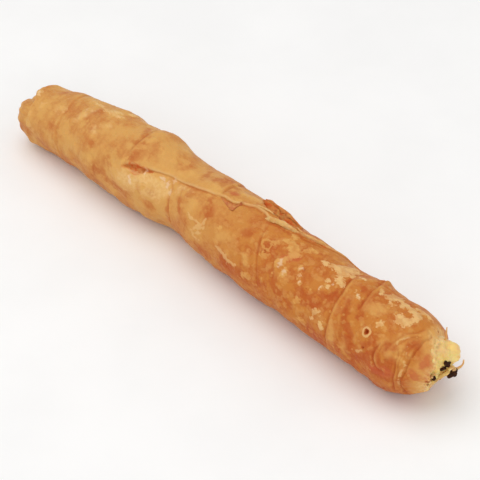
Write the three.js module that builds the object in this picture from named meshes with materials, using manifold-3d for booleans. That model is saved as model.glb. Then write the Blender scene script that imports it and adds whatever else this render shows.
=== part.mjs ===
import * as THREE from "three";
import { mergeVertices } from "three/addons/utils/BufferGeometryUtils.js";
import Module from "manifold-3d";

// A potato borek stick: sheets of thin dough wound into a long roll round a potato core, baked
// and lying on its side. Millimetres and degrees. +X points to the end where the filling shows,
// +Z is up, and the origin is on the table under the middle of the roll. An angle round the roll
// starts at the top and grows towards -Y.

// ---- Driving dimensions ----
const GIRTH = 37.2; // mean diameter of the roll
const FAR_TIP = -135.6; // x of the closed end
const NEAR_RIM = 131; // x of the torn rim round the filling
const FACE_TIP = 131.6; // x that the middle of the filling's face reaches
const AXIS_LIFT = 0.975; // height of the axis over the table as a share of the radius
const WALL = 4.2; // wound sheets over the core
const RIM_WALL = 1.5; // sheet at the torn rim
const CLEARANCE = 0.35; // gap between the core and the sheets
const SHEET = 0.9; // height of a sheet's free edge over the sheet that it laps

// Thick and thin places along the roll: place, change of radius, half length.
const SWELLS = [
  { at: -54, high: 0.9, long: 9 },
  { at: -27, high: -1.5, long: 12 },
  { at: 21, high: 0.5, long: 11 },
  { at: 68, high: -0.45, long: 14 },
  { at: 87, high: 0.35, long: 6 },
  { at: 108, high: 0.3, long: 6 },
];
const TAPER = { from: -82, slope: 0.078 }; // the closed end draws in along the last third
const FAR_ROUND = 9; // length over which the closed end rounds off
const ROUND_POWER = 2.6; // above 2, the closed end is blunter than a half circle
const SHOULDER = { from: 110, to: 132, shrink: 0.55, power: 2.4 }; // sheets gathered to the rim

// The long free edge of the top sheet: its angle falls along the roll.
const LAP = { from: -55, to: 118, angle: 15, slow: 0.7, fast: 1.0, groove: 0.45, sinks: 14 };

// Ends of the wound sheets, seen as creases across the roll. The side towards +X stands up by
// `step`, and the crease is `deep` under the sheet on its other side.
const CREASES = [
  { at: -106, slant: 0.06, from: -150, to: 150, deep: 0.45, step: -0.45 },
  { at: -84, slant: -0.03, from: -170, to: -20, deep: 0.35, step: 0.35 },
  { at: -55, slant: 0, from: -140, to: 58, deep: 0.6, step: 0.7 },
  { at: -27, slant: 0.03, from: 38, to: 150, deep: 0.5, step: 0.35 },
  { at: -2, slant: 0.12, from: -150, to: 14, deep: 0.5, step: -0.3 },
  { at: 28, slant: 0.1, from: 8, to: 140, deep: 0.45, step: -0.3 },
  { at: 44, slant: 0.1, from: 34, to: 62, deep: 0.4, step: 0.2 },
  { at: 58, slant: -0.05, from: -170, to: -60, deep: 0.5, step: 0.4 },
  { at: 80, slant: 0.01, from: -20, to: 130, deep: 0.8, step: 0.5 },
  { at: 81, slant: 0.17, from: 28, to: 120, deep: 0.5, step: -0.3 },
  { at: 90, slant: 0.05, from: -160, to: 34, deep: 0.5, step: 0.5 },
  { at: 109, slant: 0, from: 48, to: 100, deep: 0.45, step: 0.25 },
  { at: 117, slant: -0.02, from: 8, to: 140, deep: 0.4, step: 0.25 },
  { at: 124, slant: 0, from: -170, to: 150, deep: 1.1, step: -0.5 },
];
const CREASE_WIDTH = 0.9;
const STEP_LENGTH = 8; // over which a raised sheet sinks back to the roll

// Puffed and dented places: centre, half length, half width round the roll, height.
const BUMPS = [
  { at: -50, angle: -46, long: 5, wide: 9, high: 0.8 }, // over the fold crease
  { at: -38, angle: 60, long: 15, wide: 7, high: 0.7 }, // blown dough under the first tear
  { at: -28, angle: 128, long: 10, wide: 9, high: -1.3 }, // hollow of the waist
  { at: 86.5, angle: -44, long: 2.2, wide: 6, high: 0.9 }, // knob on the ridge
  { at: 33, angle: -46, long: 12, wide: 6, high: -0.8 }, // flat place behind the second tear
  { at: -107, angle: 128, long: 13, wide: 10, high: -1.0 }, // slack under the first wrap
  { at: 98, angle: 128, long: 7, wide: 9, high: -1.0 },
  { at: 121, angle: -40, long: 8, wide: 10, high: -1.1 },
  { at: -122, angle: -30, long: 9, wide: 11, high: -1.2 }, // slack of the outer sheet's short edge
];
// Tears in the top sheet, with dark hollows under it.
const TEARS = [
  { at: -48.5, angle: 50, long: 8, wide: 1.8, turn: -22, deep: 2.4 },
  { at: 23.5, angle: -21, long: 9.5, wide: 2.2, turn: 12, deep: 3.0 },
];

// The closed end: the outer sheet stops short on top and the inner roll stands out of it.
const NUB = { edge: -128.2, angle: -45, half: 61, fade: 35, drop: 8.0, slant: 3.6 };

// Loose flakes of sheet: [x, angle] of both ends, width, thickness, lift of the middle.
const FLAKES = [
  { from: [23, -2], to: [38.5, -15], wide: 2.4, thick: 0.8, lift: 1.1 },
  { from: [36, -22], to: [54, -42], wide: 1.8, thick: 0.8, lift: 0.2 },
  { from: [16.5, -4], to: [25.5, -9], wide: 1.4, thick: 0.6, lift: 0.6 },
];
const DOG_EAR = { tip: [9, 23], foot: [0.5, 14], hinge: [12, 4], thick: 0.9 };

// Lumps of potato on the open face: x, offset from the axis in y and z, radii.
const LUMPS = [
  { at: [129.2, 7.7, 4.6], size: [3.8, 3.9, 5.4] },
  { at: [130.0, 2.7, 5.8], size: [2.4, 3.6, 2.8] },
  { at: [130.6, -2.1, 4.2], size: [2.0, 3.0, 3.0] },
  { at: [130.6, -1.9, -1.2], size: [2.0, 3.4, 3.2] },
  { at: [129.6, 4.5, -2.8], size: [2.6, 4.2, 2.4] },
];
// Charred bits between the lumps.
const CHARS = [
  { at: [131.4, 4.1, 1.8], size: [1.4, 1.5, 2.0] },
  { at: [131.0, 7.9, -4.8], size: [1.8, 2.6, 1.7] },
  { at: [131.4, -3.5, -2.6], size: [1.0, 1.0, 1.4] },
];
// Dry threads of dough that stand up at the open end: points on their middle line, widths.
const RIM_WISP = { points: [[125.8, 6.3, 8.6], [126.0, 7.2, 13.6], [125.4, 7.9, 17.2]], wide: 1.3 };
const FACE_WISP = { points: [[130.4, 8.1, -4.6], [132.2, 11.7, -3.6], [132.9, 12.2, 0.4]], wide: 1.1 };
// A fold of potato skin under the face.
const SKIN_FOLD = { points: [[130.4, -3.3, -4.4], [131.2, 1.3, -4.4], [130.8, 6.3, -4.0]], wide: 2.6 };

const RADIUS = GIRTH / 2;
const ARC = (RADIUS * Math.PI) / 180; // millimetres round the roll for a degree
const WISP_THICK = 0.7;
const wasm = await Module();
wasm.setup();

// ---- Small curves ----
const clamp01 = (value) => Math.min(1, Math.max(0, value));
const bell = (value, centre, half) => Math.exp(-(((value - centre) / half) ** 2));
const ramp = (value, from, to) => THREE.MathUtils.smoothstep(value, from, to);
const turnBetween = (angle, other) => THREE.MathUtils.euclideanModulo(angle - other + 180, 360) - 180;

/** Radius of the smooth roll at x, without creases. */
function rollRadius(x) {
  const swells = SWELLS.reduce((sum, swell) => sum + swell.high * bell(x, swell.at, swell.long), 0);
  const taper = TAPER.slope * Math.max(0, TAPER.from - x);
  const gather = clamp01((x - SHOULDER.from) / (SHOULDER.to - SHOULDER.from));
  return (RADIUS + swells - taper) * (1 - SHOULDER.shrink * gather ** SHOULDER.power);
}

/** The axis of the roll at x: a slight bend, and the roll lies on the table all along. */
function axisPoint(x) {
  const bend = -4.2 * (1 - ramp(x, -140, -86)) + 2.0 * bell(x, -27, 13) - 2.2 * ramp(x, -10, 95);
  const height = rollRadius(THREE.MathUtils.clamp(x, -120, SHOULDER.from)) * AXIS_LIFT;
  const lift = 0.4 * ramp(x, 113, NEAR_RIM);
  return new THREE.Vector3(x, bend + 0.6 + 0.3 * ramp(x, 95, 125), height + lift);
}

/** Angle of the top sheet's free edge at x. */
function lapAngle(x) {
  return LAP.angle - (x < 0 ? LAP.slow : LAP.fast) * x;
}

/** Height that the top sheet adds beside its free edge, with the groove under the edge. */
function lapHeight(x, angle) {
  const shown = ramp(x, LAP.from - 1, LAP.from + 3) * (1 - ramp(x, LAP.to - 20, LAP.to));
  const above = turnBetween(lapAngle(x), angle) * ARC;
  const sheet = ramp(above, -0.4, 0.7) * Math.exp(-Math.max(0, above) / LAP.sinks);
  const groove = LAP.groove * bell(above, -0.9, 0.9);
  return shown * (SHEET * sheet - groove);
}

/** Height that one crease adds: a groove, and the sheet on one side standing over the other. */
function creaseHeight(crease, x, angle) {
  const middle = (crease.from + crease.to) / 2;
  const half = (crease.to - crease.from) / 2;
  const shown = 1 - ramp(Math.abs(turnBetween(angle, middle)), half - 14, half + 4);
  const beside = x - crease.at - crease.slant * turnBetween(angle, 0);
  const raised = beside * Math.sign(crease.step);
  const sheet = ramp(raised, -0.2, 1.0) * Math.exp(-Math.max(0, raised) / STEP_LENGTH);
  const groove = crease.deep * bell(beside, 0, CREASE_WIDTH);
  return shown * (Math.abs(crease.step) * sheet - groove);
}

/** Height of a puffed or dented place. */
function bumpHeight(bump, x, angle) {
  const round = turnBetween(angle, bump.angle) * ARC;
  return bump.high * Math.exp(-(((x - bump.at) / bump.long) ** 2) - (round / bump.wide) ** 2);
}

/** Depth of a tear: a steep-sided slot turned from the roll's own direction. */
function tearDepth(tear, x, angle) {
  const along = x - tear.at;
  const round = turnBetween(angle, tear.angle) * ARC;
  const turn = THREE.MathUtils.degToRad(tear.turn);
  const u = (along * Math.cos(turn) + round * Math.sin(turn)) / tear.long;
  const v = (round * Math.cos(turn) - along * Math.sin(turn)) / tear.wide;
  return tear.deep * Math.exp(-((u * u + v * v) ** 2));
}

/** Slow waves that keep the baked roll from being round. */
function waves(x, angle) {
  const turn = THREE.MathUtils.degToRad(angle);
  const long = 0.22 * Math.sin(0.085 * x + 2 * turn + 0.6) + 0.16 * Math.sin(0.19 * x - 3 * turn + 2.1);
  return long + 0.1 * Math.sin(0.41 * x + 5 * turn);
}

/** All relief on the roll; it dies out underneath, where the roll is pressed flat. */
function relief(x, angle) {
  const creases = CREASES.reduce((sum, crease) => sum + creaseHeight(crease, x, angle), 0);
  const bumps = BUMPS.reduce((sum, bump) => sum + bumpHeight(bump, x, angle), 0);
  const tears = TEARS.reduce((sum, tear) => sum + tearDepth(tear, x, angle), 0);
  const pressed = 1 - bell(turnBetween(angle, 180), 0, 24);
  const ends = ramp(x, FAR_TIP, FAR_TIP + FAR_ROUND);
  return ends * pressed * (lapHeight(x, angle) + creases + bumps + waves(x, angle) - tears);
}

/** How far round the roll an angle is from the middle of the outer sheet's short edge. */
function nubAside(angle) {
  return Math.abs(turnBetween(angle, NUB.angle));
}

/** How far the outer sheet's short edge stops before its furthest place. */
function nubRun(x, angle) {
  return NUB.slant * ramp(nubAside(angle), NUB.half - 5, NUB.half + 17) * bell(x, NUB.edge, 3.6);
}

/** Radius of the finished surface. */
function outerRadius(x, angle) {
  const inset = clamp01((x - FAR_TIP) / FAR_ROUND);
  const round = (1 - (1 - inset) ** ROUND_POWER) ** (1 / ROUND_POWER);
  const lower = NUB.drop * (1 - ramp(nubAside(angle), NUB.half, NUB.half + NUB.fade));
  const beyond = 1 - ramp(x, NUB.edge - 0.5, NUB.edge + 0.5);
  return rollRadius(x) * round - lower * beyond * inset ** 0.4 + relief(x, angle);
}

/** A point at a radius and angle round the axis at x, never under the table. */
function around(x, angle, radius) {
  const turn = THREE.MathUtils.degToRad(angle);
  const point = axisPoint(x);
  point.y -= radius * Math.sin(turn);
  point.z = Math.max(0, point.z + radius * Math.cos(turn));
  return point;
}

/** How far the torn rim runs past its mean place: it leans, and it is ragged. */
function rimRun(angle) {
  const turn = THREE.MathUtils.degToRad(angle);
  const lean = 2.0 * Math.cos(turn - 1.05) - 1.2;
  return lean + 0.4 * Math.sin(5 * turn + 1) + 0.3 * Math.sin(11 * turn);
}

// ---- Bodies ----
/** Places of the rings along the roll: even steps, and both sides of each crease that runs square. */
function ringPlaces() {
  const even = [
    ...spaced(FAR_TIP + 0.3, NUB.edge, 6),
    ...spaced(NUB.edge + 2, -60, 18),
    ...spaced(-60, 56, 44),
    ...spaced(56, NEAR_RIM, 27),
  ];
  const square = CREASES.filter((crease) => Math.abs(crease.slant) < 0.02);
  const edges = [NUB.edge, ...square.map((crease) => crease.at)].flatMap((x) => [x - 0.5, x + 0.6]);
  const clear = even.filter((x) => edges.every((edge) => Math.abs(edge - x) > 0.6));
  return [...clear, ...edges, NEAR_RIM].sort((a, b) => a - b);
}

/** Angles of the columns at x: fine where it is seen from above, with two on the free edge. */
function columnAngles(x) {
  const edge = THREE.MathUtils.clamp(lapAngle(x), -48, 56);
  const fine = [...spaced(-66, edge, 11), edge, ...spaced(edge + 2.5, 76, 11)];
  return [...fine, ...spaced(76, 172, 7), 172, ...spaced(188, 294, 7)];
}

/** Evenly spaced values from start up to, but without, end. */
function spaced(start, end, count) {
  return Array.from({ length: count }, (_, i) => start + ((end - start) * i) / count);
}

/** A closed body through rings of points, with a point at each end. */
function ringedBody(first, rings, last) {
  const sides = rings[0].length;
  const positions = [first, ...rings.flat(), last].flatMap((point) => point.toArray());
  const end = 1 + rings.length * sides;
  const index = [];
  for (let side = 0; side < sides; side++) {
    const next = (side + 1) % sides;
    index.push(0, 1 + next, 1 + side);
    for (let ring = 0; ring + 1 < rings.length; ring++) {
      const a = 1 + ring * sides + side;
      const b = 1 + ring * sides + next;
      index.push(a, b, a + sides, b, b + sides, a + sides);
    }
    index.push(end, end - sides + side, end - sides + next);
  }
  const geometry = new THREE.BufferGeometry();
  geometry.setAttribute("position", new THREE.Float32BufferAttribute(positions, 3));
  geometry.setIndex(index);
  return geometry;
}

/** A geometry as a solid that can be joined and cut. */
function solidOf(geometry) {
  const bare = geometry.clone();
  bare.deleteAttribute("normal");
  bare.deleteAttribute("uv");
  const merged = mergeVertices(bare, 1e-4);
  return new wasm.Manifold(
    new wasm.Mesh({
      numProp: 3,
      vertProperties: new Float32Array(merged.attributes.position.array),
      triVerts: new Uint32Array(merged.index.array),
    }),
  );
}

/** A solid as a named mesh of one material. */
function meshOf(solid, name, material) {
  const { vertProperties, triVerts } = solid.getMesh();
  const geometry = new THREE.BufferGeometry();
  geometry.setAttribute("position", new THREE.BufferAttribute(vertProperties, 3));
  geometry.setIndex(new THREE.BufferAttribute(triVerts, 1));
  geometry.computeVertexNormals();
  const mesh = new THREE.Mesh(geometry, material);
  mesh.name = name;
  return mesh;
}

/** A thin strip along a line of points, flat against `up`, narrowing to both ends. */
function strip(points, up, wide, thick) {
  const curve = new THREE.CatmullRomCurve3(points);
  const steps = 7;
  const rings = [];
  for (let step = 0; step <= steps; step++) {
    const share = step / steps;
    const middle = curve.getPoint(share);
    const side = curve.getTangent(share).cross(up).normalize();
    const rise = side.clone().cross(curve.getTangent(share)).normalize();
    const half = (wide / 2) * Math.sqrt(Math.sin(Math.PI * (0.08 + 0.84 * share)));
    const corner = (s, r) =>
      middle.clone().addScaledVector(side, s * half).addScaledVector(rise, (r * thick) / 2);
    rings.push([corner(-1, 1), corner(1, 1), corner(1, -1), corner(-1, -1)]);
  }
  return solidOf(ringedBody(curve.getPoint(0), rings, curve.getPoint(1)));
}

/** A loose flake that lies along the roll, with its middle lifted off. */
function flakeSolid(flake) {
  const points = spaced(0, 1.25, 5).map((share) => {
    const x = THREE.MathUtils.lerp(flake.from[0], flake.to[0], share);
    const angle = THREE.MathUtils.lerp(flake.from[1], flake.to[1], share);
    const lift = flake.lift * Math.sin(Math.PI * share);
    return around(x, angle, outerRadius(x, angle) + lift - 0.1);
  });
  const middle = points[2].clone().sub(axisPoint(points[2].x));
  return strip(points, middle.normalize(), flake.wide, flake.thick);
}

/** The folded corner of the top sheet: a flat three-cornered piece on the lap. */
function dogEarSolid() {
  const corners = [DOG_EAR.foot, DOG_EAR.tip, DOG_EAR.hinge];
  const place = ([x, angle], lift) => around(x, angle, outerRadius(x, angle) + lift);
  const centre = place([7, 14], DOG_EAR.thick + 0.15);
  const under = corners.map((corner) => place(corner, -1.2));
  const over = corners.map((corner) => place(corner, DOG_EAR.thick));
  return solidOf(ringedBody(place([7, 14], -1.5), [under, over], centre));
}

/** An uneven lump, wider than it is round, grown all over by `grow`. */
function lumpSolid(lump, detail, grow) {
  const geometry = new THREE.IcosahedronGeometry(1, detail);
  const size = new THREE.Vector3(...lump.size).addScalar(grow);
  const places = geometry.attributes.position;
  const centre = axisPoint(lump.at[0]).add(new THREE.Vector3(0, lump.at[1], lump.at[2]));
  for (let i = 0; i < places.count; i++) {
    const point = new THREE.Vector3().fromBufferAttribute(places, i);
    const uneven = 1 + 0.12 * Math.sin(4 * point.y + centre.y) + 0.1 * Math.sin(5 * point.z + 3 * point.x);
    point.multiplyScalar(uneven).multiply(size).add(centre);
    places.setXYZ(i, point.x, point.y, point.z);
  }
  return solidOf(geometry);
}

/** A dry thread or fold that stands free, grown all over by `grow`. */
function wispSolid(wisp, grow) {
  const points = wisp.points.map(([x, y, z]) => axisPoint(x).add(new THREE.Vector3(0, y, z)));
  return strip(points, new THREE.Vector3(1, 0, 0), wisp.wide + 2 * grow, WISP_THICK + 2 * grow);
}

/** Everything that lies on the open face of the filling, grown all over by `grow`. */
function facePieces(grow) {
  return [
    ...LUMPS.map((lump) => lumpSolid(lump, 2, grow)),
    ...CHARS.map((char) => lumpSolid(char, 1, grow)),
    ...[FACE_WISP, SKIN_FOLD].map((wisp) => wispSolid(wisp, grow)),
  ];
}

const join = (solids) => solids.reduce((whole, piece) => whole.add(piece));

// ---- The core's own shape, shared by the hollow in the sheets and by the filling ----
const CORE_START = -121;
const CORE_ANGLES = spaced(0, 360, 18);

/** Radius of the hollow at x: the roll less its wall, which thins to one sheet at the rim. */
function hollowRadius(x) {
  const wall = THREE.MathUtils.lerp(WALL, RIM_WALL, ramp(x, SHOULDER.from, SHOULDER.to));
  const start = clamp01((x - CORE_START) / 6);
  return (rollRadius(x) - wall) * Math.sqrt(1 - (1 - start) ** 2);
}

/** Rings of the hollow, from its blind end to the rim, drawn in by `gap`. */
function coreRings(gap) {
  const stations = [...spaced(CORE_START + 0.6, -112, 4), ...spaced(-112, 112, 14), ...spaced(112, 125, 4)];
  return stations.map((x) =>
    CORE_ANGLES.map((angle) => {
      const turn = THREE.MathUtils.degToRad(angle);
      const radius = hollowRadius(x) - gap;
      return axisPoint(x).add(new THREE.Vector3(0, -radius * Math.sin(turn), radius * Math.cos(turn)));
    }),
  );
}

/** The wound sheets: the whole roll with the hollow for the core open at the rim. */
function pastrySolid() {
  const rings = ringPlaces().map((x) =>
    columnAngles(x).map((angle) => {
      const run = rimRun(angle) * ramp(x, 114, NEAR_RIM) + nubRun(x, angle);
      return around(x + run, angle, outerRadius(x, angle));
    }),
  );
  const lip = columnAngles(NEAR_RIM).map((angle) =>
    around(NEAR_RIM + rimRun(angle) - 0.4, angle, outerRadius(NEAR_RIM, angle) - RIM_WALL * 0.8),
  );
  const tip = around(FAR_TIP, 0, 0);
  const mouth = axisPoint(NEAR_RIM - 1.5);
  const whole = solidOf(ringedBody(tip, [...rings, lip], mouth));
  const hollow = coreRings(0);
  const plug = CORE_ANGLES.map((angle) => {
    const turn = THREE.MathUtils.degToRad(angle);
    const radius = hollowRadius(NEAR_RIM) - 0.2;
    return axisPoint(136).add(new THREE.Vector3(0, -radius * Math.sin(turn), radius * Math.cos(turn)));
  });
  const cut = solidOf(ringedBody(axisPoint(CORE_START), [...hollow, plug], axisPoint(137)));
  const loose = [...FLAKES.map(flakeSolid), dogEarSolid(), wispSolid(RIM_WISP, 0)];
  return join([whole, ...loose]).subtract(join([cut, ...facePieces(CLEARANCE)]));
}

/** The potato core, with its lumpy open face and the charred bits and thread on it. */
function fillingSolid() {
  const face = [
    [0.98, 128],
    [0.9, 129.6],
    [0.7, 130.8],
    [0.4, 131.4],
  ].map(([share, x]) =>
    CORE_ANGLES.map((angle) => {
      const turn = THREE.MathUtils.degToRad(angle);
      const radius = share * (hollowRadius(128) - CLEARANCE - 0.4);
      const uneven = 0.5 * Math.sin(3 * turn + 7 * share);
      return axisPoint(x + uneven).add(
        new THREE.Vector3(0, -radius * Math.sin(turn), radius * Math.cos(turn)),
      );
    }),
  );
  const blind = axisPoint(CORE_START + CLEARANCE);
  const core = solidOf(ringedBody(blind, [...coreRings(CLEARANCE), ...face], axisPoint(FACE_TIP)));
  return join([core, ...facePieces(0)]);
}

const dough = new THREE.MeshStandardMaterial({ color: 0xcf8a4a, roughness: 0.5, metalness: 0 });
const potato = new THREE.MeshStandardMaterial({ color: 0xd9bb66, roughness: 0.65, metalness: 0 });

const borekStick = new THREE.Group();
borekStick.add(meshOf(pastrySolid(), "pastry", dough));
borekStick.add(meshOf(fillingSolid(), "filling", potato));

export default borekStick;
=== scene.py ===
"""The looks of a baked potato borek stick, built round its fixed frame.

Lengths in the tables are millimetres, and an angle round the roll is in degrees from the top,
growing towards -Y. +X runs to the open end. Meshes are in metres.
"""

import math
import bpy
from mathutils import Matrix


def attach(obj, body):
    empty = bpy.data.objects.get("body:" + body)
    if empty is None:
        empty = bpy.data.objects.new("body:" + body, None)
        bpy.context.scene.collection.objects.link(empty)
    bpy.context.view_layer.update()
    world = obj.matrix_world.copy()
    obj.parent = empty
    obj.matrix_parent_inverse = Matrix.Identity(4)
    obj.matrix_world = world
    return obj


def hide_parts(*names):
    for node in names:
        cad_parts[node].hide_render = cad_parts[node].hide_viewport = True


bl_info = {
    "name": "Potato Borek Stick",
    "version": (1, 0, 0),
    "blender": (4, 5, 0),
    "location": "View3D > Sidebar > Borek",
    "description": "Builds the wound dough, the potato and the crumbs of a baked borek stick",
    "category": "Add Mesh",
}

import bpy
import numpy as np
from bpy.props import FloatProperty, FloatVectorProperty, IntProperty, PointerProperty
from mathutils import Vector

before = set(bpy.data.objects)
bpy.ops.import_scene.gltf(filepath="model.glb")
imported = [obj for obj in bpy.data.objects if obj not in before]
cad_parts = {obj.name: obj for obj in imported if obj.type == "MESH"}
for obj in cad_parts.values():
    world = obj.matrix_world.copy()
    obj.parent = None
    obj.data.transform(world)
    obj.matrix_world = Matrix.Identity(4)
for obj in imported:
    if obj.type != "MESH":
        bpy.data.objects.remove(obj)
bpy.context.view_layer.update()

# ---- The roll: the same named sizes as its solids ----
RADIUS = 18.6
ARC = RADIUS * math.pi / 180  # millimetres round the roll for a degree
FAR_TIP = -135.6
NEAR_RIM = 131.0
AXIS_LIFT = 0.975
WALL = 4.2
RIM_WALL = 1.5
CLEARANCE = 0.35
CORE_START = -121.0
FAR_ROUND = 9.0
ROUND_POWER = 2.6
SWELLS = [(-54, 0.9, 9), (-27, -1.5, 12), (21, 0.5, 11), (68, -0.45, 14), (87, 0.35, 6), (108, 0.3, 6)]
TAPER_FROM, TAPER_SLOPE = -82, 0.078
SHOULDER_FROM, SHOULDER_TO, SHOULDER_SHRINK, SHOULDER_POWER = 110, 132, 0.55, 2.4
NUB_EDGE, NUB_ANGLE, NUB_HALF, NUB_FADE, NUB_DROP, NUB_SLANT = -128.2, -45, 61, 35, 8.0, 3.6
RIM_PULL_FROM = 114  # the torn rim pulls the skin out of true from here on
FACE_ANGLE = 40  # the side of the roll that faces the camera
# Rings of points: how many round the closed tip, and what share lies past FINE_FROM.
TIP_RINGS, TIP_LENGTH, FINE_FROM, FINE_SHARE = 16, 5.0, 101.0, 0.19
RIM_RINGS, INSIDE_RINGS = 7, 16
# Columns of points: the angles where the fine part starts and ends, as shares of all columns.
HIGH_EDGE, LOW_EDGE, HIGH_SHARE, LOW_SHARE = -66, 142, 0.275, 0.85
HUG = 0.14  # how close two columns of points stay to the free edge of the top sheet
# The potato core ends inside the plug that carries its open face.
CORE_END, PLUG_START = 118.0, 117.6
DOME_START, DOME_SHARE, DOME_INSET = 128.8, 0.6, 0.85
NOISE_ROWS, NOISE_CUBE = 997, 61
PLAIN_FLAKE = 0.75  # the flake thickness at which the table of flakes holds as it is written
OUTSIDE = -6.0  # the reach of a place far from every stroke
STROKE_TAPER, TEAR_TAPER = 0.3, 0.75  # by how much of its width a stroke narrows to its ends

# The free edge of the top sheet, as (x, angle) along the roll.
LAP_LINE = [
    (-64, 60), (-55, 55), (-51.3, 47.5), (-48, 43), (-44.4, 40), (-41.7, 37.5), (-37, 33), (-32, 29),
    (-28, 28), (-24, 26.5), (-18, 23.5), (-11, 20), (-6, 16.5), (-1, 13.5), (0.5, 12), (4.7, 10.5),
    (6.7, 9.5), (8.8, 4.5), (12.6, 0), (16, -4), (19, -3.5), (22.7, -3.5), (25, -1), (27.6, 1.5),
    (31.5, -5), (35, -8.5), (39, -13), (43, -19), (47, -22), (50, -26), (54, -31), (58, -42),
    (64, -60), (130, -110),
]
LAP_HEIGHT = 0.6
LAP_FROM, LAP_TO = -55, 118

# Creases across the roll: x at the top, slant per degree, angles, depth, step towards +X.
CREASES = [
    (-105.5, 0.055, -150, 150, 0.2, -0.35),
    (-84, -0.03, -170, -20, 0.3, 0.35),
    (-56.5, 0.03, -140, 40, 0.3, 0.6),
    (-2.0, 0.06, -150, 13, 0.45, -0.3),
    (58, -0.05, -170, -60, 0.5, 0.4),
    (124, 0, -170, -66, 0.6, -0.4),
]
CREASE_WIDTH = 0.7
STEP_LENGTH = 8.0

# Folds drawn as lines of (x, angle): depth, step towards +X and half width of the groove.
FOLDS = [
    ([(-29.8, 30), (-27.2, 43), (-26.7, 53), (-25.5, 67), (-23.5, 84), (-22, 120)], 0.45, 0.4, 0.6),
    ([(-22.5, 31), (-20, 49), (-18, 62)], 0.3, 0.1, 0.6),
    ([(27.5, 4), (30.1, 26), (32.2, 41), (35.2, 60), (37.7, 74), (39, 95)], 0.45, -0.15, 0.42),
    ([(42, 26), (42.6, 42), (45, 54), (47, 66)], 0.4, 0.25, 0.6),
    ([(122.1, 12), (121.2, 19), (120.8, 30), (120.2, 40), (119.6, 50)], 0.4, 0.1, 0.28),
    ([(123.2, 18), (122.2, 27), (121.4, 36), (121, 48)], 0.36, 0.08, 0.26),
    ([(113.4, 44), (111.6, 52), (111, 62)], 0.35, 0.2, 0.4),
    ([(77, -16), (78.5, 5), (79.4, 16), (80.5, 27), (81, 48), (81.9, 69), (82, 85), (82, 104), (81, 135)],
     0.8, 0.7, 0.7),
    ([(84.5, 16), (87.3, 34), (87.5, 44), (88.3, 52), (89.5, 64), (91, 80)], 0.35, -0.3, 0.8),
    ([(86.5, -60), (87.6, -34), (89, -20), (90.6, 0), (91.3, 12), (91.8, 22), (92.2, 34)], 0.55, 0.6, 0.6),
    ([(110.8, 48), (108.8, 60), (109, 68), (109.8, 75), (111.4, 82), (113.6, 86), (116.4, 84)],
     0.8, 0.45, 0.5),
    ([(120.4, -10), (119.2, 9), (116.9, 22), (115.6, 31), (115, 40), (114, 52), (114.4, 62)],
     0.55, 0.35, 0.6),
    ([(122, 8), (119, 22), (117.9, 31), (116.9, 39), (116, 48)], 0.4, 0.25, 0.45),
    ([(117.6, 40), (119.2, 52), (119.9, 64), (120.1, 74), (120.2, 86), (120.4, 102), (120, 125)],
     0.55, 0.08, 0.34),
    ([(120.2, 44), (120.6, 56), (121.1, 68), (121.6, 82), (122.3, 98), (122.8, 112)], 0.42, 0.05, 0.28),
    ([(124.6, -12), (124.2, -5), (123.6, 13), (123.5, 31), (123.7, 50)], 0.7, -0.12, 0.36),
    ([(123.5, 40), (123.6, 56), (123.5, 70), (123.1, 82), (123.2, 92), (123.6, 105), (124, 130),
      (124.3, 160)], 0.95, -0.1, 0.38),
]

# Puffed and dented places: x, angle, half length, half width in mm, height.
BUMPS = [
    (-50, -46, 5, 9, 0.8), (-40, 60, 13, 6.5, 0.8), (-28, 128, 10, 9, -1.3), (87.6, -39, 2.2, 3.4, 1.2),
    (33, -46, 12, 6, -0.8), (-107, 128, 13, 10, -1.0), (98, 128, 7, 9, -1.0), (121, -40, 8, 10, -1.1),
    (-122, -30, 9, 11, -1.2), (-90, 18, 7, 2.0, 0.35), (-114, 40, 5, 6, 0.35), (-122, 70, 4, 5, 0.3),
    (-76, 60, 12, 9, 0.3), (-13, 8, 12, 5, 0.35), (10, 45, 9, 9, 0.25), (88, 74, 4.5, 8, 0.35),
    (102, 20, 10, 9, 0.3), (97, 66, 3.0, 7, -0.5), (94, 42, 3.0, 6, -0.4), (121.6, 62, 1.0, 9, 0.2),
    (126.5, -58, 4, 8, -1.7), (123, -22, 3, 6, 0.25), (114, 74, 2.5, 6, -0.45), (128, 50, 2.5, 8, 0.3),
]

# Strokes on the skin: points (x, angle), half width in mm. A stroke narrows to its ends.
# Gaps between the sheets, each with its depth as well.
TEARS = [
    ([(-54.8, 54.5), (-51.5, 50), (-49, 48.5), (-46, 46), (-43.5, 42), (-40.5, 38)], 1.6, 1.0),
    ([(-49, 54), (-46.5, 51), (-43.5, 46)], 1.5, 0.9), ([(-46.4, 45), (-44.2, 44)], 1.2, 0.8),
    ([(12, -33), (17, -24), (22, -21), (28, -22), (34, -24), (38, -26)], 3.2, 2.6),
    ([(26.6, -19), (30.5, -19.5)], 2.5, 1.4),
    ([(36.5, -23), (39, -25), (42, -22), (47, -22), (50, -25), (54, -30)], 0.7, 0.7),
]
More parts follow.
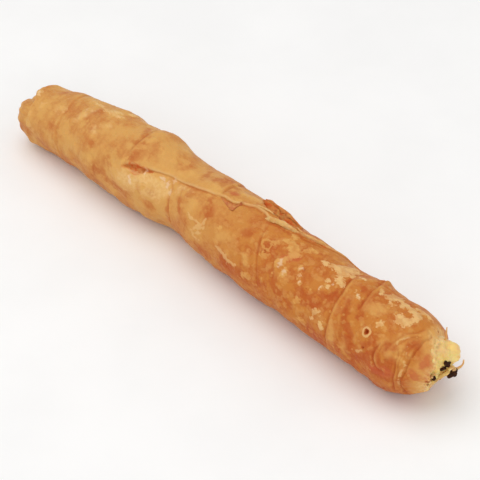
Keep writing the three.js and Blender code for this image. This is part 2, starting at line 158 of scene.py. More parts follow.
# Dry blisters with a clear edge.
PALE_PATCHES = [
    ([(61.2, 0), (63.9, 1)], 1.3), ([(66, -2), (70, -7), (74, -14), (75.5, -21)], 2.2),
    ([(68, -9), (71, -17), (73, -27)], 2.0), ([(70, -1), (74, -4), (77, -9)], 1.5),
    ([(72, 2), (74, 9), (77.5, 15)], 1.6), ([(69.8, 34), (70.6, 31)], 0.9), ([(70, 20), (71, 18)], 1.0),
    ([(72.4, 27), (73.6, 26)], 0.8), ([(80, -10), (82, -12)], 0.9),
    ([(85.2, 12), (87.2, 15), (88.8, 18)], 0.9), ([(73, 66), (75, 64)], 1.3), ([(72, 79), (73, 78)], 0.9),
    ([(79, 80), (79, 77)], 2.3), ([(92, -12), (93, -12)], 1.0),
    ([(98.4, -9), (99.4, -15), (100.6, -19)], 2.9), ([(99.6, -4), (102.2, -2)], 1.1),
    ([(94, -6), (97, -10)], 0.8), ([(101, -19), (104, -18)], 0.8),
    ([(104.5, -17), (108.5, -14), (112.5, -15)], 1.8), ([(112.4, -15), (114.6, -7)], 2.2),
    ([(115, -6), (114, 2), (112.6, 8)], 1.9), ([(108.8, 8), (111, 12), (114.4, 11)], 2.1),
    ([(104.8, 33), (106.6, 26)], 1.2), ([(105.2, -9), (107, -7)], 0.6),
    ([(110, -26), (113, -29), (117, -31)], 1.4), ([(-126.4, 10), (-125.4, 19)], 1.5),
    ([(-100, -17), (-96, -13)], 0.8), ([(-95, -10), (-91, -11)], 1.1),
    ([(-89, -5), (-84, -4), (-80, -2)], 1.0), ([(-78, -3), (-76, -8)], 0.9),
    ([(-83, -10), (-79, -15)], 0.9), ([(-77, -22), (-75, -31)], 1.0),
]
# Smaller, duller spots.
SPOTS = [
    ([(40.4, -6), (41.6, -4)], 1.5), ([(40, 8), (43.6, 7), (46.4, 8), (49, 11)], 1.7),
    ([(44.6, 12), (47.4, 14)], 1.5), ([(46, -5), (47, -4)], 1.0), ([(50.4, 3), (52.6, 1)], 1.1),
    ([(52.4, -6), (55, -5)], 0.9), ([(35.8, 44), (38.4, 41)], 1.5), ([(36.6, 22), (38.4, 19)], 1.0),
    ([(44.6, 45), (46.6, 35), (48.4, 24), (50, 16)], 1.9), ([(50, 50), (50, 44)], 1.9),
    ([(56, 31), (56, 27)], 1.3), ([(58, 40), (58, 37)], 1.3), ([(59.8, 47), (59.8, 44)], 1.1),
    ([(-94.4, 8), (-94, 20), (-92, 31)], 1.1), ([(-118.8, 38), (-117.5, 34)], 1.5),
    ([(-107.4, 28), (-106.8, 25)], 1.6), ([(-123.4, 79), (-122.4, 76)], 1.5),
    ([(-125.6, 61), (-123.6, 57)], 1.4), ([(-56.2, 52), (-54.5, 43)], 0.8), ([(-51.6, 1), (-50, 0)], 1.2),
    ([(-44.6, 4), (-42.6, 6)], 1.3), ([(-36.4, 8), (-34.6, 5)], 1.2), ([(-39.6, -29), (-38, -30)], 1.6),
    ([(-33.4, -6), (-31.4, -4)], 1.3), ([(-26, 5), (-24, 6)], 1.0), ([(-8, 4), (-5, 8), (-2.6, 12)], 2.0),
    ([(-3.6, -22), (-1, -24)], 1.5), ([(2.6, -18), (6, -17), (12, -19)], 2.0),
    ([(3, 8.5), (5.4, 5.5), (8, 1)], 0.9), ([(9, 50), (9.8, 48)], 1.0), ([(-18.8, 31), (-17.6, 29)], 1.3),
    ([(64, 64), (62, 70)], 1.3), ([(66, 90), (68, 96)], 1.6), ([(106.6, 31), (109, 33)], 1.1),
    ([(30, 88), (33, 84)], 1.4),
]
# Small whitish glints on the driest blisters.
GLINTS = [
    ([(-49, 62), (-48, 68)], 0.8), ([(-30.7, 39), (-30.4, 46)], 0.75), ([(-27.6, 46), (-27.2, 54)], 0.5),
    ([(-35.6, 37), (-34, 40)], 0.6), ([(-43.6, 40), (-42.7, 46)], 0.5), ([(-29.2, 29), (-28.6, 34)], 0.6),
    ([(-34.4, 37), (-32.4, 41)], 0.6), ([(46.0, 36), (46.4, 43)], 0.9), ([(50, 44), (50.3, 48)], 0.9),
    ([(56.2, 29), (56.8, 26)], 0.5), ([(58.1, 39), (58.3, 37)], 0.6), ([(59.7, 46), (60, 44)], 0.5),
    ([(73.4, 22), (74.4, 20)], 0.6), ([(69.8, 35), (70.2, 33)], 0.4), ([(87, 15), (88.4, 17)], 0.5),
    ([(81, -11), (82, -12)], 0.4), ([(-125.8, 13), (-125.4, 17)], 0.7), ([(-94, 10), (-93.8, 16)], 0.4),
]
# Slightly raised, paler places with a soft edge.
FAINT_PATCHES = [
    ([(-123, 78), (-122, 76)], 1.8), ([(-118, 38), (-117, 34)], 1.7), ([(-107, 28), (-107, 25)], 2.2),
    ([(-125, 60), (-123, 56)], 1.8), ([(-94, 7), (-94, 20), (-92, 33)], 1.6),
    ([(-100, -17), (-93, -10), (-85, -4), (-76, -8)], 1.4), ([(-84, -10), (-79, -15), (-76, -28)], 1.6),
    ([(-79, 22), (-77, 19)], 1.5), ([(-81, 42), (-78, 43)], 1.6), ([(-86, 71), (-85, 68)], 1.8),
    ([(-76, 76), (-75, 74)], 1.6), ([(-52, 8), (-51, 2)], 1.2), ([(-54, 44), (-56, 50)], 1.3),
    ([(-60, 66), (-56, 72), (-51, 76)], 3.4), ([(-52, 60), (-46, 62), (-42, 57)], 3.0),
    ([(-44, 66), (-38, 62)], 3.0), ([(-40, 50), (-36, 43), (-29, 42)], 3.2),
    ([(-30, 52), (-30, 64)], 2.4), ([(-26, 8), (-16, 8), (-5, 10)], 3.2),
    ([(-30, 20), (-20, 14), (-10, 14)], 2.4), ([(5, -14), (10, -17), (15, -17)], 2.4),
    ([(-12, 40), (-10, 46)], 2.4), ([(11, 60), (14, 52)], 3.0), ([(28, 60), (30, 70)], 2.0),
    ([(86, 70), (86, 92)], 1.8), ([(93, 80), (94, 96)], 1.3), ([(103, 71), (101, 79)], 1.0),
    ([(102, 12), (96, 20)], 3.0), ([(120.5, -38), (123.5, -22), (125.5, -6)], 2.8),
    ([(124.5, -40), (126, -25)], 2.2), ([(-22, 22), (-12, 14), (-3, 8)], 1.6),
    ([(118, 42), (120, 60)], 1.4), ([(117.4, 18), (115.8, 38), (116, 60)], 1.6),
    ([(112, 44), (110, 52)], 1.8),
]
# Thin dry threads of dough baked on to the skin.
PALE_LINES = [
    ([(-11, 57), (-8, 61), (-4, 60), (-1, 62)], 0.55), ([(0, 50), (-0.5, 57), (-2, 64)], 0.5),
    ([(-3, 64), (-6, 76), (-4, 83), (0, 83)], 0.6), ([(-4, 70), (1, 62)], 0.55),
    ([(-3, 76), (1, 70)], 0.6), ([(11, 74), (14, 75), (17, 78), (20, 82), (24, 82)], 0.9),
    ([(18, 76), (19, 88)], 0.5), ([(-52, 55.5), (-48, 54), (-43, 49), (-40, 43)], 0.5),
    ([(-45.3, 46), (-45.2, 50)], 0.35), ([(100, 80), (103, 73)], 0.5),
    ([(122.7, 60), (122.2, 78), (122.6, 95), (123.1, 105)], 0.1),
    ([(120.2, 34), (121.6, 44), (122.2, 58)], 0.1), ([(118.4, 24), (117, 33), (116.2, 42)], 0.3),
]
# Browner places.
SMEARS = [
    ([(-104, 60), (-106, 55)], 2.0), ([(-126, 43), (-123, 42)], 1.6),
    ([(-89, 8), (-88, 2), (-88, -6)], 1.7), ([(-89, 26), (-87.6, 34)], 0.7),
    ([(-78, 52), (-77, 51)], 1.5), ([(-66, 60), (-63, 66)], 1.8),
    ([(-60, -14), (-57, -2), (-55, 12)], 2.6), ([(-57, 18), (-51, 20)], 1.5),
    ([(-53.5, 42), (-52, 36), (-51, 30)], 1.5), ([(-53, 36), (-51, 42)], 1.4),
    ([(-72, 80), (-60, 90), (-52, 96)], 2.0), ([(-44, 64), (-42, 74)], 1.0),
    ([(-36, 66), (-37, 68)], 1.3), ([(-36, 84), (-35, 86)], 2.0), ([(-3, 29), (-1, 38), (1, 48)], 1.8),
    ([(-26, 62), (-25, 78)], 1.4), ([(-20, 50), (-17, 64)], 1.2), ([(-12, -8), (-8, -20)], 3.0),
    ([(-20.5, -15), (-18.5, -6), (-17.6, 1)], 1.5), ([(-9, -6), (-6.6, -3)], 1.3),
    ([(-58, -8), (-55, 2), (-52, 18)], 1.6), ([(109.6, 69), (104, 80), (99, 94), (95.4, 120)], 1.8),
    ([(16, 88), (22, 92), (30, 90)], 3.0), ([(40, 78), (38, 86)], 1.8), ([(26, 31), (22, 36)], 1.8),
    ([(35, 28), (36, 24)], 1.8), ([(69, 49), (72, 44), (76, 38), (79, 26)], 1.4),
    ([(64, 56), (68, 60)], 3.0), ([(74, 50), (70, 64)], 2.0), ([(77, 8), (78, 2)], 1.4),
    ([(86, 34), (90, 52), (93, 63)], 2.0), ([(95, 36), (94, 40)], 1.8),
    ([(94, 66), (97, 80), (97, 96), (101, 93)], 2.3), ([(100, 82), (102, 71), (105, 60)], 1.0),
    ([(111, 74), (116, 74), (118, 66)], 2.4), ([(110, 60), (112, 84)], 1.2),
    ([(106, 84), (112, 92)], 3.0), ([(112, 48), (116, 46)], 1.4), ([(122, 26), (121, 32)], 1.4),
    ([(93, 8), (92, 22), (92, 32)], 1.0), ([(86, -6), (88, 8)], 2.0),
    ([(45, 60), (50, 74), (60, 80)], 2.6),
]
# Painted sheen: soft light places that fade out all round.
SHEENS = [
    ([(-54, 68), (-49, 72), (-45, 64)], 3.4), ([(-46, 58), (-40, 50), (-34, 46)], 3.0),
    ([(-37, 54), (-30, 52)], 3.0), ([(-40, 72), (-33, 66)], 1.8), ([(-24, 36), (-18, 32)], 1.2),
    ([(-118.8, 37), (-118.2, 35)], 0.4), ([(-107.2, 29), (-106.6, 25)], 1.2),
    ([(-93.4, 31), (-92, 20), (-91, 8)], 0.8), ([(-81.4, 38), (-80.4, 34)], 0.9),
    ([(-77.4, 22), (-76.6, 19)], 0.9), ([(-123, 78), (-122.4, 76)], 0.9),
    ([(-125.2, 61), (-123.8, 57)], 0.2), ([(123.2, -56), (125.2, -34), (126.6, -14), (127, -2)], 2.6),
    ([(128.6, -56), (128.8, -30)], 2.4), ([(128.6, 6), (130.6, 22), (132, 44)], 0.6),
    ([(130.4, 88), (131, 104), (131, 126)], 1.1),
]
# Reddish places.
BLUSHES = [
    ([(127.6, 28), (128.3, 40), (128.5, 54)], 1.9), ([(126.4, 66), (127, 78)], 1.9),
    ([(130.6, 70), (130.2, 82)], 0.7), ([(131.8, 60), (131.6, 64)], 0.8), ([(118, 82), (110, 88)], 2.6),
    ([(1, -1), (3, -4)], 1.8), ([(46, 30), (52, 20)], 2.0),
]
# Painted shade: thin dark lines in cracks, and painted shadow under the edges of flakes.
PAINTED_SHADE_LINES = [
    ([(-73, 80), (-72, 94)], 0.4), ([(9.2, 5), (10, 3.5)], 0.5),
    ([(26.8, 5), (28.7, 4), (31.5, -0.3), (35.5, -2.9), (38.6, -4.7), (40.3, -9.4)], 0.8),
    ([(40.8, -15.5), (44.1, -12.5), (47.5, -15.2), (50.3, -18), (52.7, -20.2)], 0.8),
    ([(75, 39), (76.6, 33), (78.3, 26)], 0.7), ([(-51, 48), (-47.5, 43.5), (-44.5, 42.5)], 0.5),
]
# Where small blisters are strewn: from x to x, from angle to angle, how many.
PIMPLES = [
    (-128, -60, -50, 120, 40), (-60, 24, -40, 120, 45), (26, 82, -30, 110, 75), (48, 76, 42, 88, 40),
    (82, 122, -30, 110, 60), (-128, 122, 120, 300, 110),
]
# Pinholes: x, angle, width, depth. The first has a pale ring round it.
PINHOLES = [
    (101.5, 48, 1.0, 1.6), (103.2, 69, 0.5, 0.7), (36, 39, 0.5, 0.7), (58, 27, 0.45, 0.6),
    (123.6, -28, 0.45, 0.5), (27.4, -18.4, 0.9, 0.5), (29.4, -19.8, 0.8, 0.4), (131, 80, 0.6, 0.5),
]


def smooth(value, low, high):
    share = np.clip((value - low) / (high - low), 0.0, 1.0)
    return share * share * (3.0 - 2.0 * share)


def bell(value, centre, half):
    return np.exp(-(((value - centre) / half) ** 2))


def turn_between(angle, other):
    return (angle - other + 180.0) % 360.0 - 180.0


def lattice_noise(u, v, cells, seed):
    """Soft noise from -1 to 1 on a lattice of unit cells that repeats after `cells` along v."""
    table = np.random.default_rng(seed).random((NOISE_ROWS, cells)) * 2.0 - 1.0
    u_low = np.floor(u).astype(int)
    v_low = np.floor(v).astype(int)
    u_share = smooth(u - u_low, 0.0, 1.0)
    v_share = smooth(v - v_low, 0.0, 1.0)
    first, second = (
        table[row, v_low % cells] * (1 - v_share) + table[row, (v_low + 1) % cells] * v_share
        for row in (u_low % NOISE_ROWS, (u_low + 1) % NOISE_ROWS)
    )
    return first * (1 - u_share) + second * u_share


def skin_noise(x, angle, size, seed, stretch=1.0):
    """Soft noise on the roll with lumps of about `size` millimetres, `stretch` times as long."""
    cells = max(3, round(2 * math.pi * RADIUS / size))
    return lattice_noise((x + 400.0) / (size * stretch), (angle % 360.0) / 360.0 * cells, cells, seed)


def roll_radius(x):
    swells = sum(high * bell(x, at, long) for at, high, long in SWELLS)
    taper = TAPER_SLOPE * np.maximum(0.0, TAPER_FROM - x)
    gather = np.clip((x - SHOULDER_FROM) / (SHOULDER_TO - SHOULDER_FROM), 0.0, 1.0)
    return (RADIUS + swells - taper) * (1.0 - SHOULDER_SHRINK * gather**SHOULDER_POWER)


def axis_place(x):
    """The y and z of the roll's axis at x."""
    bend = -4.2 * (1 - smooth(x, -140, -86)) + 2.0 * bell(x, -27, 13) - 2.2 * smooth(x, -10, 95)
    height = roll_radius(np.clip(x, -120, SHOULDER_FROM)) * AXIS_LIFT
    return bend + 0.6 + 0.3 * smooth(x, 95, 125), height + 0.4 * smooth(x, 113, NEAR_RIM)


def lap_angle(x):
    """The angle of the free edge of the top sheet, a little ragged."""
    places, angles = zip(*LAP_LINE)
    return np.interp(x, places, angles) + 1.3 * lattice_noise(x / 5.0 + 80, 0 * x, 2, 5)


def above_lap(x, angle):
    """Millimetres from the free edge, more than 0 on the top sheet."""
    return turn_between(lap_angle(x), angle) * ARC


def line_place(x, angle, points):
    """Distance to a line of (x, angle), more than 0 on its +X side, and the share along it."""
    ends = np.array(points, float)
    runs = np.hypot(np.diff(ends[:, 0]), np.diff(ends[:, 1]) * ARC)
    total = max(runs.sum(), 1e-6)
    nearest = np.full(x.shape, 1e3)
    side = np.ones(x.shape)
    along = np.zeros(x.shape)
    done = 0.0
    for (x0, a0), (x1, a1), run in zip(ends[:-1], ends[1:], runs):
        across = turn_between(angle, a0) * ARC
        step = (a1 - a0) * ARC
        share = np.clip(((x - x0) * (x1 - x0) + across * step) / max(run * run, 1e-9), 0.0, 1.0)
        away = np.hypot(x - x0 - share * (x1 - x0), across - share * step)
        closer = away < nearest
        nearest = np.where(closer, away, nearest)
        side = np.where(closer, np.where((x - x0) * step < across * (x1 - x0), -1.0, 1.0), side)
        along = np.where(closer, (done + share * run) / total, along)
        done += run
    return nearest * side, along


def stroke_reach(x, angle, points, half, taper):
    """How far a place on the skin lies inside a stroke, in millimetres; less than 0 outside."""
    away, along = line_place(x, angle, points)
    return half * (1 - taper * (2 * along - 1) ** 2) - np.abs(away)


def strokes_reach(x, angle, strokes):
    """Reach into the nearest of several strokes."""
    reach = np.full(x.shape, OUTSIDE)
    for points, half in strokes:
        near = (x > min(p[0] for p in points) - 9) & (x < max(p[0] for p in points) + 9)
        if near.any():
            inside = stroke_reach(x[near], angle[near], points, half, STROKE_TAPER)
            reach[near] = np.maximum(reach[near], inside)
    return reach


def blister_reach(x, angle, strokes):
    """Reach into strokes with the ragged edge of a dry blister."""
    return strokes_reach(x, angle, strokes) + 0.7 * skin_noise(x, angle, 2.2, 4)


def thread_reach(x, angle):
    return strokes_reach(x, angle, PALE_LINES) + 0.4 * skin_noise(x, angle, 1.5, 19)


def tear_reaches(x, angle):
    """Reach into each gap between the sheets, with a torn edge."""
    torn = 0.45 * skin_noise(x, angle, 1.9, 6)
    return [stroke_reach(x, angle, points, half, TEAR_TAPER) + torn for points, half, _ in TEARS]


def lap_height(x, angle):
    """The step up to the top sheet, its curled edge and the groove before it."""
    shown = smooth(x, LAP_FROM - 1, LAP_FROM + 3) * (1 - smooth(x, LAP_TO - 20, LAP_TO))
    above = above_lap(x, angle)
    rise = LAP_HEIGHT * (1 + 0.9 * bell(x, -49, 6) + 0.6 * bell(x, 22, 12) - 0.4 * bell(x, -30, 7))
    sheet = smooth(above, -0.12, 0.12) * np.exp(-np.maximum(0, above) / 14)
    curl = 0.2 * bell(above, 0.4, 0.6) * smooth(above, -0.1, 0.1)
    groove = 0.25 * bell(above, -0.5, 0.5)
    return shown * (rise * sheet + curl - groove)


def fold_shape(beside, shown, deep, step, wide):
    """Height of a fold, and shares for the painted shade in its groove and for the painted highlight on the
    edge beside it.
    """
    raised = beside * (1 if step > 0 else -1)
    sheet = smooth(raised, -0.15, 0.6) * np.exp(-np.maximum(0, raised) / STEP_LENGTH)
    dip = bell(beside, 0, wide)
    height = shown * (abs(step) * sheet - deep * dip)
    groove = shown * bell(beside, 0, wide * 1.15) * min(1.0, deep / 0.7)
    crest_highlight = shown * bell(raised, wide + 0.7, 0.75) * min(1.0, abs(step) / 0.5)
    return height, groove, crest_highlight


def folds(x, angle):
    """The height of all creases and folds, and the masks of painted shade in their grooves and of painted
    highlight on their crests.
    """
    height, groove, crest_highlight = np.zeros(x.shape), np.zeros(x.shape), np.zeros(x.shape)

    def lay(where, shape):
        height[where] += shape[0]
        groove[where] = np.maximum(groove[where], shape[1])
        crest_highlight[where] = np.maximum(crest_highlight[where], shape[2])

    for number, (at, slant, start, end, deep, step) in enumerate(CREASES):
        middle, half = (start + end) / 2, (end - start) / 2
        shown = 1 - smooth(np.abs(turn_between(angle, middle)), half - 14, half + 4)
        wander = 0.7 * skin_noise(0 * x + number * 7.3, angle, 9, 40 + number)
        wander += 0.25 * skin_noise(0 * x + number * 3.1, angle, 3.5, 70 + number)
        beside = x - at - slant * turn_between(angle, 0) - wander
        lay(np.ones(x.shape, bool), fold_shape(beside, shown, deep, step, CREASE_WIDTH))
    for number, (points, deep, step, wide) in enumerate(FOLDS):
        near = (x > min(p[0] for p in points) - 30) & (x < max(p[0] for p in points) + 30)
        if near.any():
            beside, along = line_place(x[near], angle[near], points)
            beside = beside + 0.3 * skin_noise(x[near], angle[near], 4, 90 + number)
            shown = smooth(along, 0, 0.14) * (1 - smooth(along, 0.86, 1.0))
            shown = shown * (0.8 + 0.35 * skin_noise(x[near], angle[near], 6, 110 + number))
            lay(near, fold_shape(beside, shown, deep, step, wide))
    return height, groove, crest_highlight


def pimples(x, angle):
    """Height of the scattered small blisters, and how far inside one a place lies."""
    dice = np.random.default_rng(17)
    height, reach = np.zeros(x.shape), np.full(x.shape, OUTSIDE / 2)
    for start, end, low, high, count in PIMPLES:
        for _ in range(count):
            at, turn = dice.uniform(start, end), dice.uniform(low, high)
            wide, tall = dice.uniform(0.5, 1.25), dice.uniform(0.1, 0.26)
            near = np.abs(x - at) < 4
            away = np.hypot(x[near] - at, turn_between(angle[near], turn) * ARC)
            height[near] += tall * smooth(wide + 0.35 - away, 0.0, 0.7)
            reach[near] = np.maximum(reach[near], wide - away)
    return height, reach


def slow_waves(x, angle):
    """The unevenness of a roll wound by hand."""
    turn = np.radians(angle)
    long = 0.22 * np.sin(0.085 * x + 2 * turn + 0.6) + 0.16 * np.sin(0.19 * x - 3 * turn + 2.1)
    return long + 0.1 * np.sin(0.41 * x + 5 * turn)


def relief(x, angle):
    """Height of everything on the skin over the plain roll."""
    bumps = sum(
        high * np.exp(-(((x - at) / long) ** 2) - (turn_between(angle, a) * ARC / wide) ** 2)
        for at, a, long, wide, high in BUMPS
    )
    tears = sum(
        deep * smooth(reach, -0.2, 1.1) for reach, (_, _, deep) in zip(tear_reaches(x, angle), TEARS)
    )
    pressed = 1 - bell(turn_between(angle, 180), 0, 24)
    ends = smooth(x, FAR_TIP, FAR_TIP + FAR_ROUND)
    baked = 0.22 * skin_noise(x, angle, 11, 1, 1.4) + 0.16 * skin_noise(x, angle, 5, 2, 1.3)
    baked += 0.6 * skin_noise(x, angle, 8, 23, 0.7) * bell(turn_between(angle, 116), 0, 36)
    baked += 0.3 * skin_noise(x, angle, 7, 24, 0.8) * bell(turn_between(angle, -56), 0, 26)
    crumbly = 1 + 1.4 * smooth(x, 119, 126)
    baked += crumbly * (0.08 * skin_noise(x, angle, 2.4, 3) + 0.04 * skin_noise(x, angle, 1.2, 7))
    baked += 0.12 * (1 - 2 * np.abs(skin_noise(x, angle, 6.5, 8, 0.6))) * smooth(x, -60, 90)
    blister = 0.26 * smooth(blister_reach(x, angle, PALE_PATCHES), -0.3, 0.6)
    blister = blister * (1 - 0.35 * skin_noise(x, angle, 1.6, 18))
    spots = 0.18 * smooth(blister_reach(x, angle, SPOTS), -0.3, 0.6)
    spots += 0.15 * smooth(strokes_reach(x, angle, GLINTS), -0.4, 0.4)
    threads = 0.16 * smooth(thread_reach(x, angle), -0.3, 0.4)
    faint = strokes_reach(x, angle, FAINT_PATCHES) + 0.6 * skin_noise(x, angle, 2.2, 16)
    baked += 0.14 * smooth(faint, -0.8, 0.8) + pimples(x, angle)[0]
    raised = blister + spots + threads
    height = lap_height(x, angle) + folds(x, angle)[0] + bumps + slow_waves(x, angle) - tears
    height = height + baked + raised
    for at, a, wide, deep in PINHOLES:
        away = np.hypot(x - at, turn_between(angle, a) * ARC)
        hole = deep * (1 - smooth(away, 0.45 * wide, 1.15 * wide))
        height = height - hole + 0.25 * bell(away, 1.7 * wide, 0.7 * wide)
    return ends * pressed * height


def nub_aside(angle):
    return np.abs(turn_between(angle, NUB_ANGLE))


def nub_run(x, angle):
    """How far the slanted edge of the nub at the closed end lies off its ring."""
    return NUB_SLANT * smooth(nub_aside(angle), NUB_HALF - 5, NUB_HALF + 17) * bell(x, NUB_EDGE, 3.6)


def outer_radius(x, angle):
    """From the axis to the skin, with the blunt closed end and its puckers."""
    inset = np.clip((x - FAR_TIP) / FAR_ROUND, 0.0, 1.0)
    blunt = (1 - (1 - inset) ** ROUND_POWER) ** (1 / ROUND_POWER)
    lower = NUB_DROP * (1 - smooth(nub_aside(angle), NUB_HALF, NUB_HALF + NUB_FADE))
    beyond = 1 - smooth(x, NUB_EDGE - 0.35, NUB_EDGE + 0.35)
    puckers = 0.3 * bell(inset, 0.35, 0.3) * np.sin(np.radians(angle) * 17 + 3 * skin_noise(x, angle, 8, 9))
    return roll_radius(x) * blunt - lower * beyond * inset**0.4 + relief(x, angle) + puckers


def around(x, angle, radius):
    """Points at a radius and angle round the axis at x, never under the table."""
    turn = np.radians(angle)
    y, z = axis_place(x)
    return np.stack([x, y - radius * np.sin(turn), np.maximum(0.0, z + radius * np.cos(turn))], -1)


def rim_run(angle):
    """How far the torn rim reaches past its plain place."""
    turn = np.radians(angle)
    lean = 2.0 * np.cos(turn - 1.05) - 1.2
    ragged = 0.4 * np.sin(5 * turn + 1) + 0.3 * np.sin(11 * turn)
    tongue = 1.4 * bell(turn_between(angle, 34), 0, 24) + 0.6 * bell(turn_between(angle, 84), 0, 20)
    tongue = tongue - 1.9 * bell(turn_between(angle, 172), 0, 26)
    torn = lean + ragged + tongue + 0.6 * skin_noise(0 * angle, angle, 2.6, 12)
    return torn + 0.3 * skin_noise(0 * angle, angle, 1.1, 13)


def rim_pull(x, angle):
    return rim_run(angle) * smooth(x, RIM_PULL_FROM, NEAR_RIM)


def rim_notch(angle):
    """How far the torn rim stops short where mash wells over it."""
    ragged = 1 + 0.18 * skin_noise(0 * angle, angle, 3.0, 14) + 0.1 * skin_noise(0 * angle, angle, 1.4, 15)
    return 4.6 * np.exp(-np.abs(turn_between(angle, -4) / 26) ** 3) * ragged


def hollow_radius(x):
    """From the axis to the inside of the dough."""
    wall = WALL + (RIM_WALL - WALL) * smooth(x, SHOULDER_FROM, SHOULDER_TO)
    start = np.clip((x - CORE_START) / 6, 0.0, 1.0)
    return (roll_radius(x) - wall) * np.sqrt(1 - (1 - start) ** 2)


# ---- The open end ----
# Lumps of potato: place from the axis at x, and radii.
LUMPS = [
    ((129.2, 7.7, 4.6), (3.8, 3.9, 5.4)), ((130.4, 8.8, 7.0), (2.4, 2.8, 2.8)),
    ((129.4, 4.4, 6.2), (2.8, 3.6, 4.0)), ((130.2, 2.2, 5.0), (2.2, 3.4, 2.8)),
    ((130.6, -2.1, 4.0), (1.8, 2.6, 2.6)), ((130.4, -2.4, 0.2), (1.7, 2.8, 2.0)),
    ((129.6, 4.4, -1.8), (2.2, 3.6, 1.9)),
]
# Mash that wells over the notch in the rim.
RIM_MASH = [
    ((128.2, 1.6, 7.4), (3.4, 5.2, 3.9)), ((129.6, -3.4, 5.6), (2.2, 3.4, 3.0)),
    ((126.8, 4.2, 11.4), (1.5, 1.6, 1.2)), ((126.3, 2.1, 12.7), (1.3, 1.4, 1.0)),
    ((126.9, 0.2, 12.7), (1.6, 1.4, 1.1)), ((128.2, -2.1, 12.0), (1.3, 1.5, 1.1)),
    ((129.6, -3.2, 10.9), (1.5, 1.3, 1.2)), ((131.2, -4.3, 9.2), (1.3, 1.3, 1.3)),
    ((132.3, -5.2, 7.4), (1.0, 1.1, 1.2)),
]
# Crumbs that cling to the lower edge of the rim and to the mash.
CRUMBS = [
    ((131.0, -9.1, -3.2), (0.9, 0.9, 0.9)), ((131.0, -8.0, -4.4), (0.8, 0.9, 0.8)),
    ((130.9, -6.8, -4.8), (0.8, 0.9, 0.8)), ((130.9, -5.6, -4.4), (0.8, 0.9, 0.7)),
    ((131.4, -8.2, -2.6), (0.8, 0.9, 0.9)), ((131.2, -6.6, -3.2), (0.9, 1.0, 0.9)),
    ((131.3, -9.3, -1.4), (0.7, 0.8, 0.9)), ((131.6, -7.0, -0.8), (0.8, 0.9, 0.9)),
    ((131.2, -5.0, -2.6), (0.9, 1.0, 0.8)), ((131.8, -6.0, 1.6), (0.6, 0.7, 0.8)),
    ((132.0, -4.6, 2.2), (0.6, 0.6, 0.6)), ((131.9, 5.8, -0.9), (0.7, 1.9, 0.8)),
    ((131.9, 8.0, -3.0), (0.6, 1.3, 0.6)),
]
# The lumps of each charred scrap.
CHARS = [
    [
        ((132.4, 3.0, 3.7), (1.0, 1.4, 1.4)), ((132.5, 1.5, 5.2), (0.8, 0.8, 1.2)),
        ((132.3, 0.3, 2.6), (0.9, 1.6, 0.7)),
    ],
    [
        ((131.4, 7.2, -5.0), (1.5, 2.7, 1.6)), ((131.2, 9.2, -6.4), (1.0, 1.0, 1.4)),
        ((131.5, 9.4, -4.3), (1.0, 1.1, 0.9)),
    ],
    [((132.2, -4.8, 1.0), (0.7, 0.6, 1.0)), ((132.1, -5.1, 0.0), (0.6, 0.6, 0.9))],
]
# Threads and the strip of skin: places from the axis at x.
RIM_WISP = [(125.8, 7.2, 7.6), (126.0, 8.2, 12.4), (125.8, 8.5, 14.4), (125.6, 8.7, 16.6)]
FACE_WISP = [(131.0, 8.0, -3.2), (131.5, 11.2, -4.4), (131.8, 13.4, -3.3), (131.8, 13.8, -0.9)]
SKIN_FOLD = [(131.5, -6.0, -1.7), (132.1, -3.0, -1.1), (132.4, 0.6, -1.0), (132.1, 4.6, -1.8)]

# Loose flakes on the skin: points (x, angle, lift), width and thickness.
FLAKES = [
    ([(24.3, 1.5, 0.0), (27.7, -1.5, 0.2), (30.8, -6.5, 0.3), (34.4, -10, 0.25), (39, -14, 0.05)], 2.3, 0.8),
    ([(36, -22.5, 0.1), (40, -20, 0.25), (44, -22.5, 0.3), (49, -28, 0.3), (54.5, -35, 0.05)], 1.5, 0.7),
    ([(15.2, -5, 0.0), (19.5, -8, 0.15), (23, -9.5, 0.2), (26.6, -12, 0.05)], 1.2, 0.5),
]
# Broken layers in the open gap behind them.
GAP_LAYERS = [
    ([(10.5, -42, 0.0), (18, -35, 0.2), (25, -34, 0.5), (30.5, -34.5, 0.5), (37, -33.5, 0.0)], 2.0, 2.0),
    ([(14, -28, -0.1), (19, -27, 0.1), (24, -28.5, 0.1), (29, -28, -0.2)], 1.1, 0.9),
]
# The turned corner of the top sheet: outer edge and inner edge, as (x, angle, lift).
DOG_EAR_OUTER = [(-0.4, 14.5, 0.0), (4.1, 18, 0.05), (8.6, 21, 0.1), (9.3, 12, 0.05), (9.8, 4, 0.0)]
DOG_EAR_INNER = [(-0.4, 12.5, 0.0), (3, 11.6, 0.1), (6.2, 10.8, 0.2), (7.8, 8, 0.1), (9.4, 3, 0.0)]


def clear_selection():
    """Leaves edit mode and deselects all, so that an operator reaches only its own piece."""
    if bpy.context.object and bpy.context.object.mode != "OBJECT":
        bpy.ops.object.mode_set(mode="OBJECT")
    bpy.ops.object.select_all(action="DESELECT")


def read_points(piece, what):
    flat = np.empty(len(piece.data.vertices) * 3)
    piece.data.vertices.foreach_get(what, flat)
    return flat.reshape(-1, 3)


def points_of(piece):
    """The piece's points in millimetres."""
    return read_points(piece, "co") * 1000


def move_points(piece, points):
    piece.data.vertices.foreach_set("co", (points / 1000).ravel())
    piece.data.update()


def add_fields(piece, fields):
    for name, values in fields.items():
        layer = piece.data.attributes.new(name, "FLOAT", "POINT")
        layer.data.foreach_set("value", np.asarray(values, np.float32))


def pick(piece):
    clear_selection()
    bpy.context.view_layer.objects.active = piece
    piece.select_set(True)


def named(piece, name):
    piece.name = piece.data.name = name
    return piece


def close_up(piece):
    """Joins points that touch, turns every face outwards and shades the piece smooth."""
    pick(piece)
    bpy.ops.object.mode_set(mode="EDIT")
    bpy.ops.mesh.select_all(action="SELECT")
    bpy.ops.mesh.remove_doubles(threshold=1e-6)
    bpy.ops.mesh.normals_make_consistent(inside=False)
    bpy.ops.object.mode_set(mode="OBJECT")
    bpy.ops.object.shade_smooth()


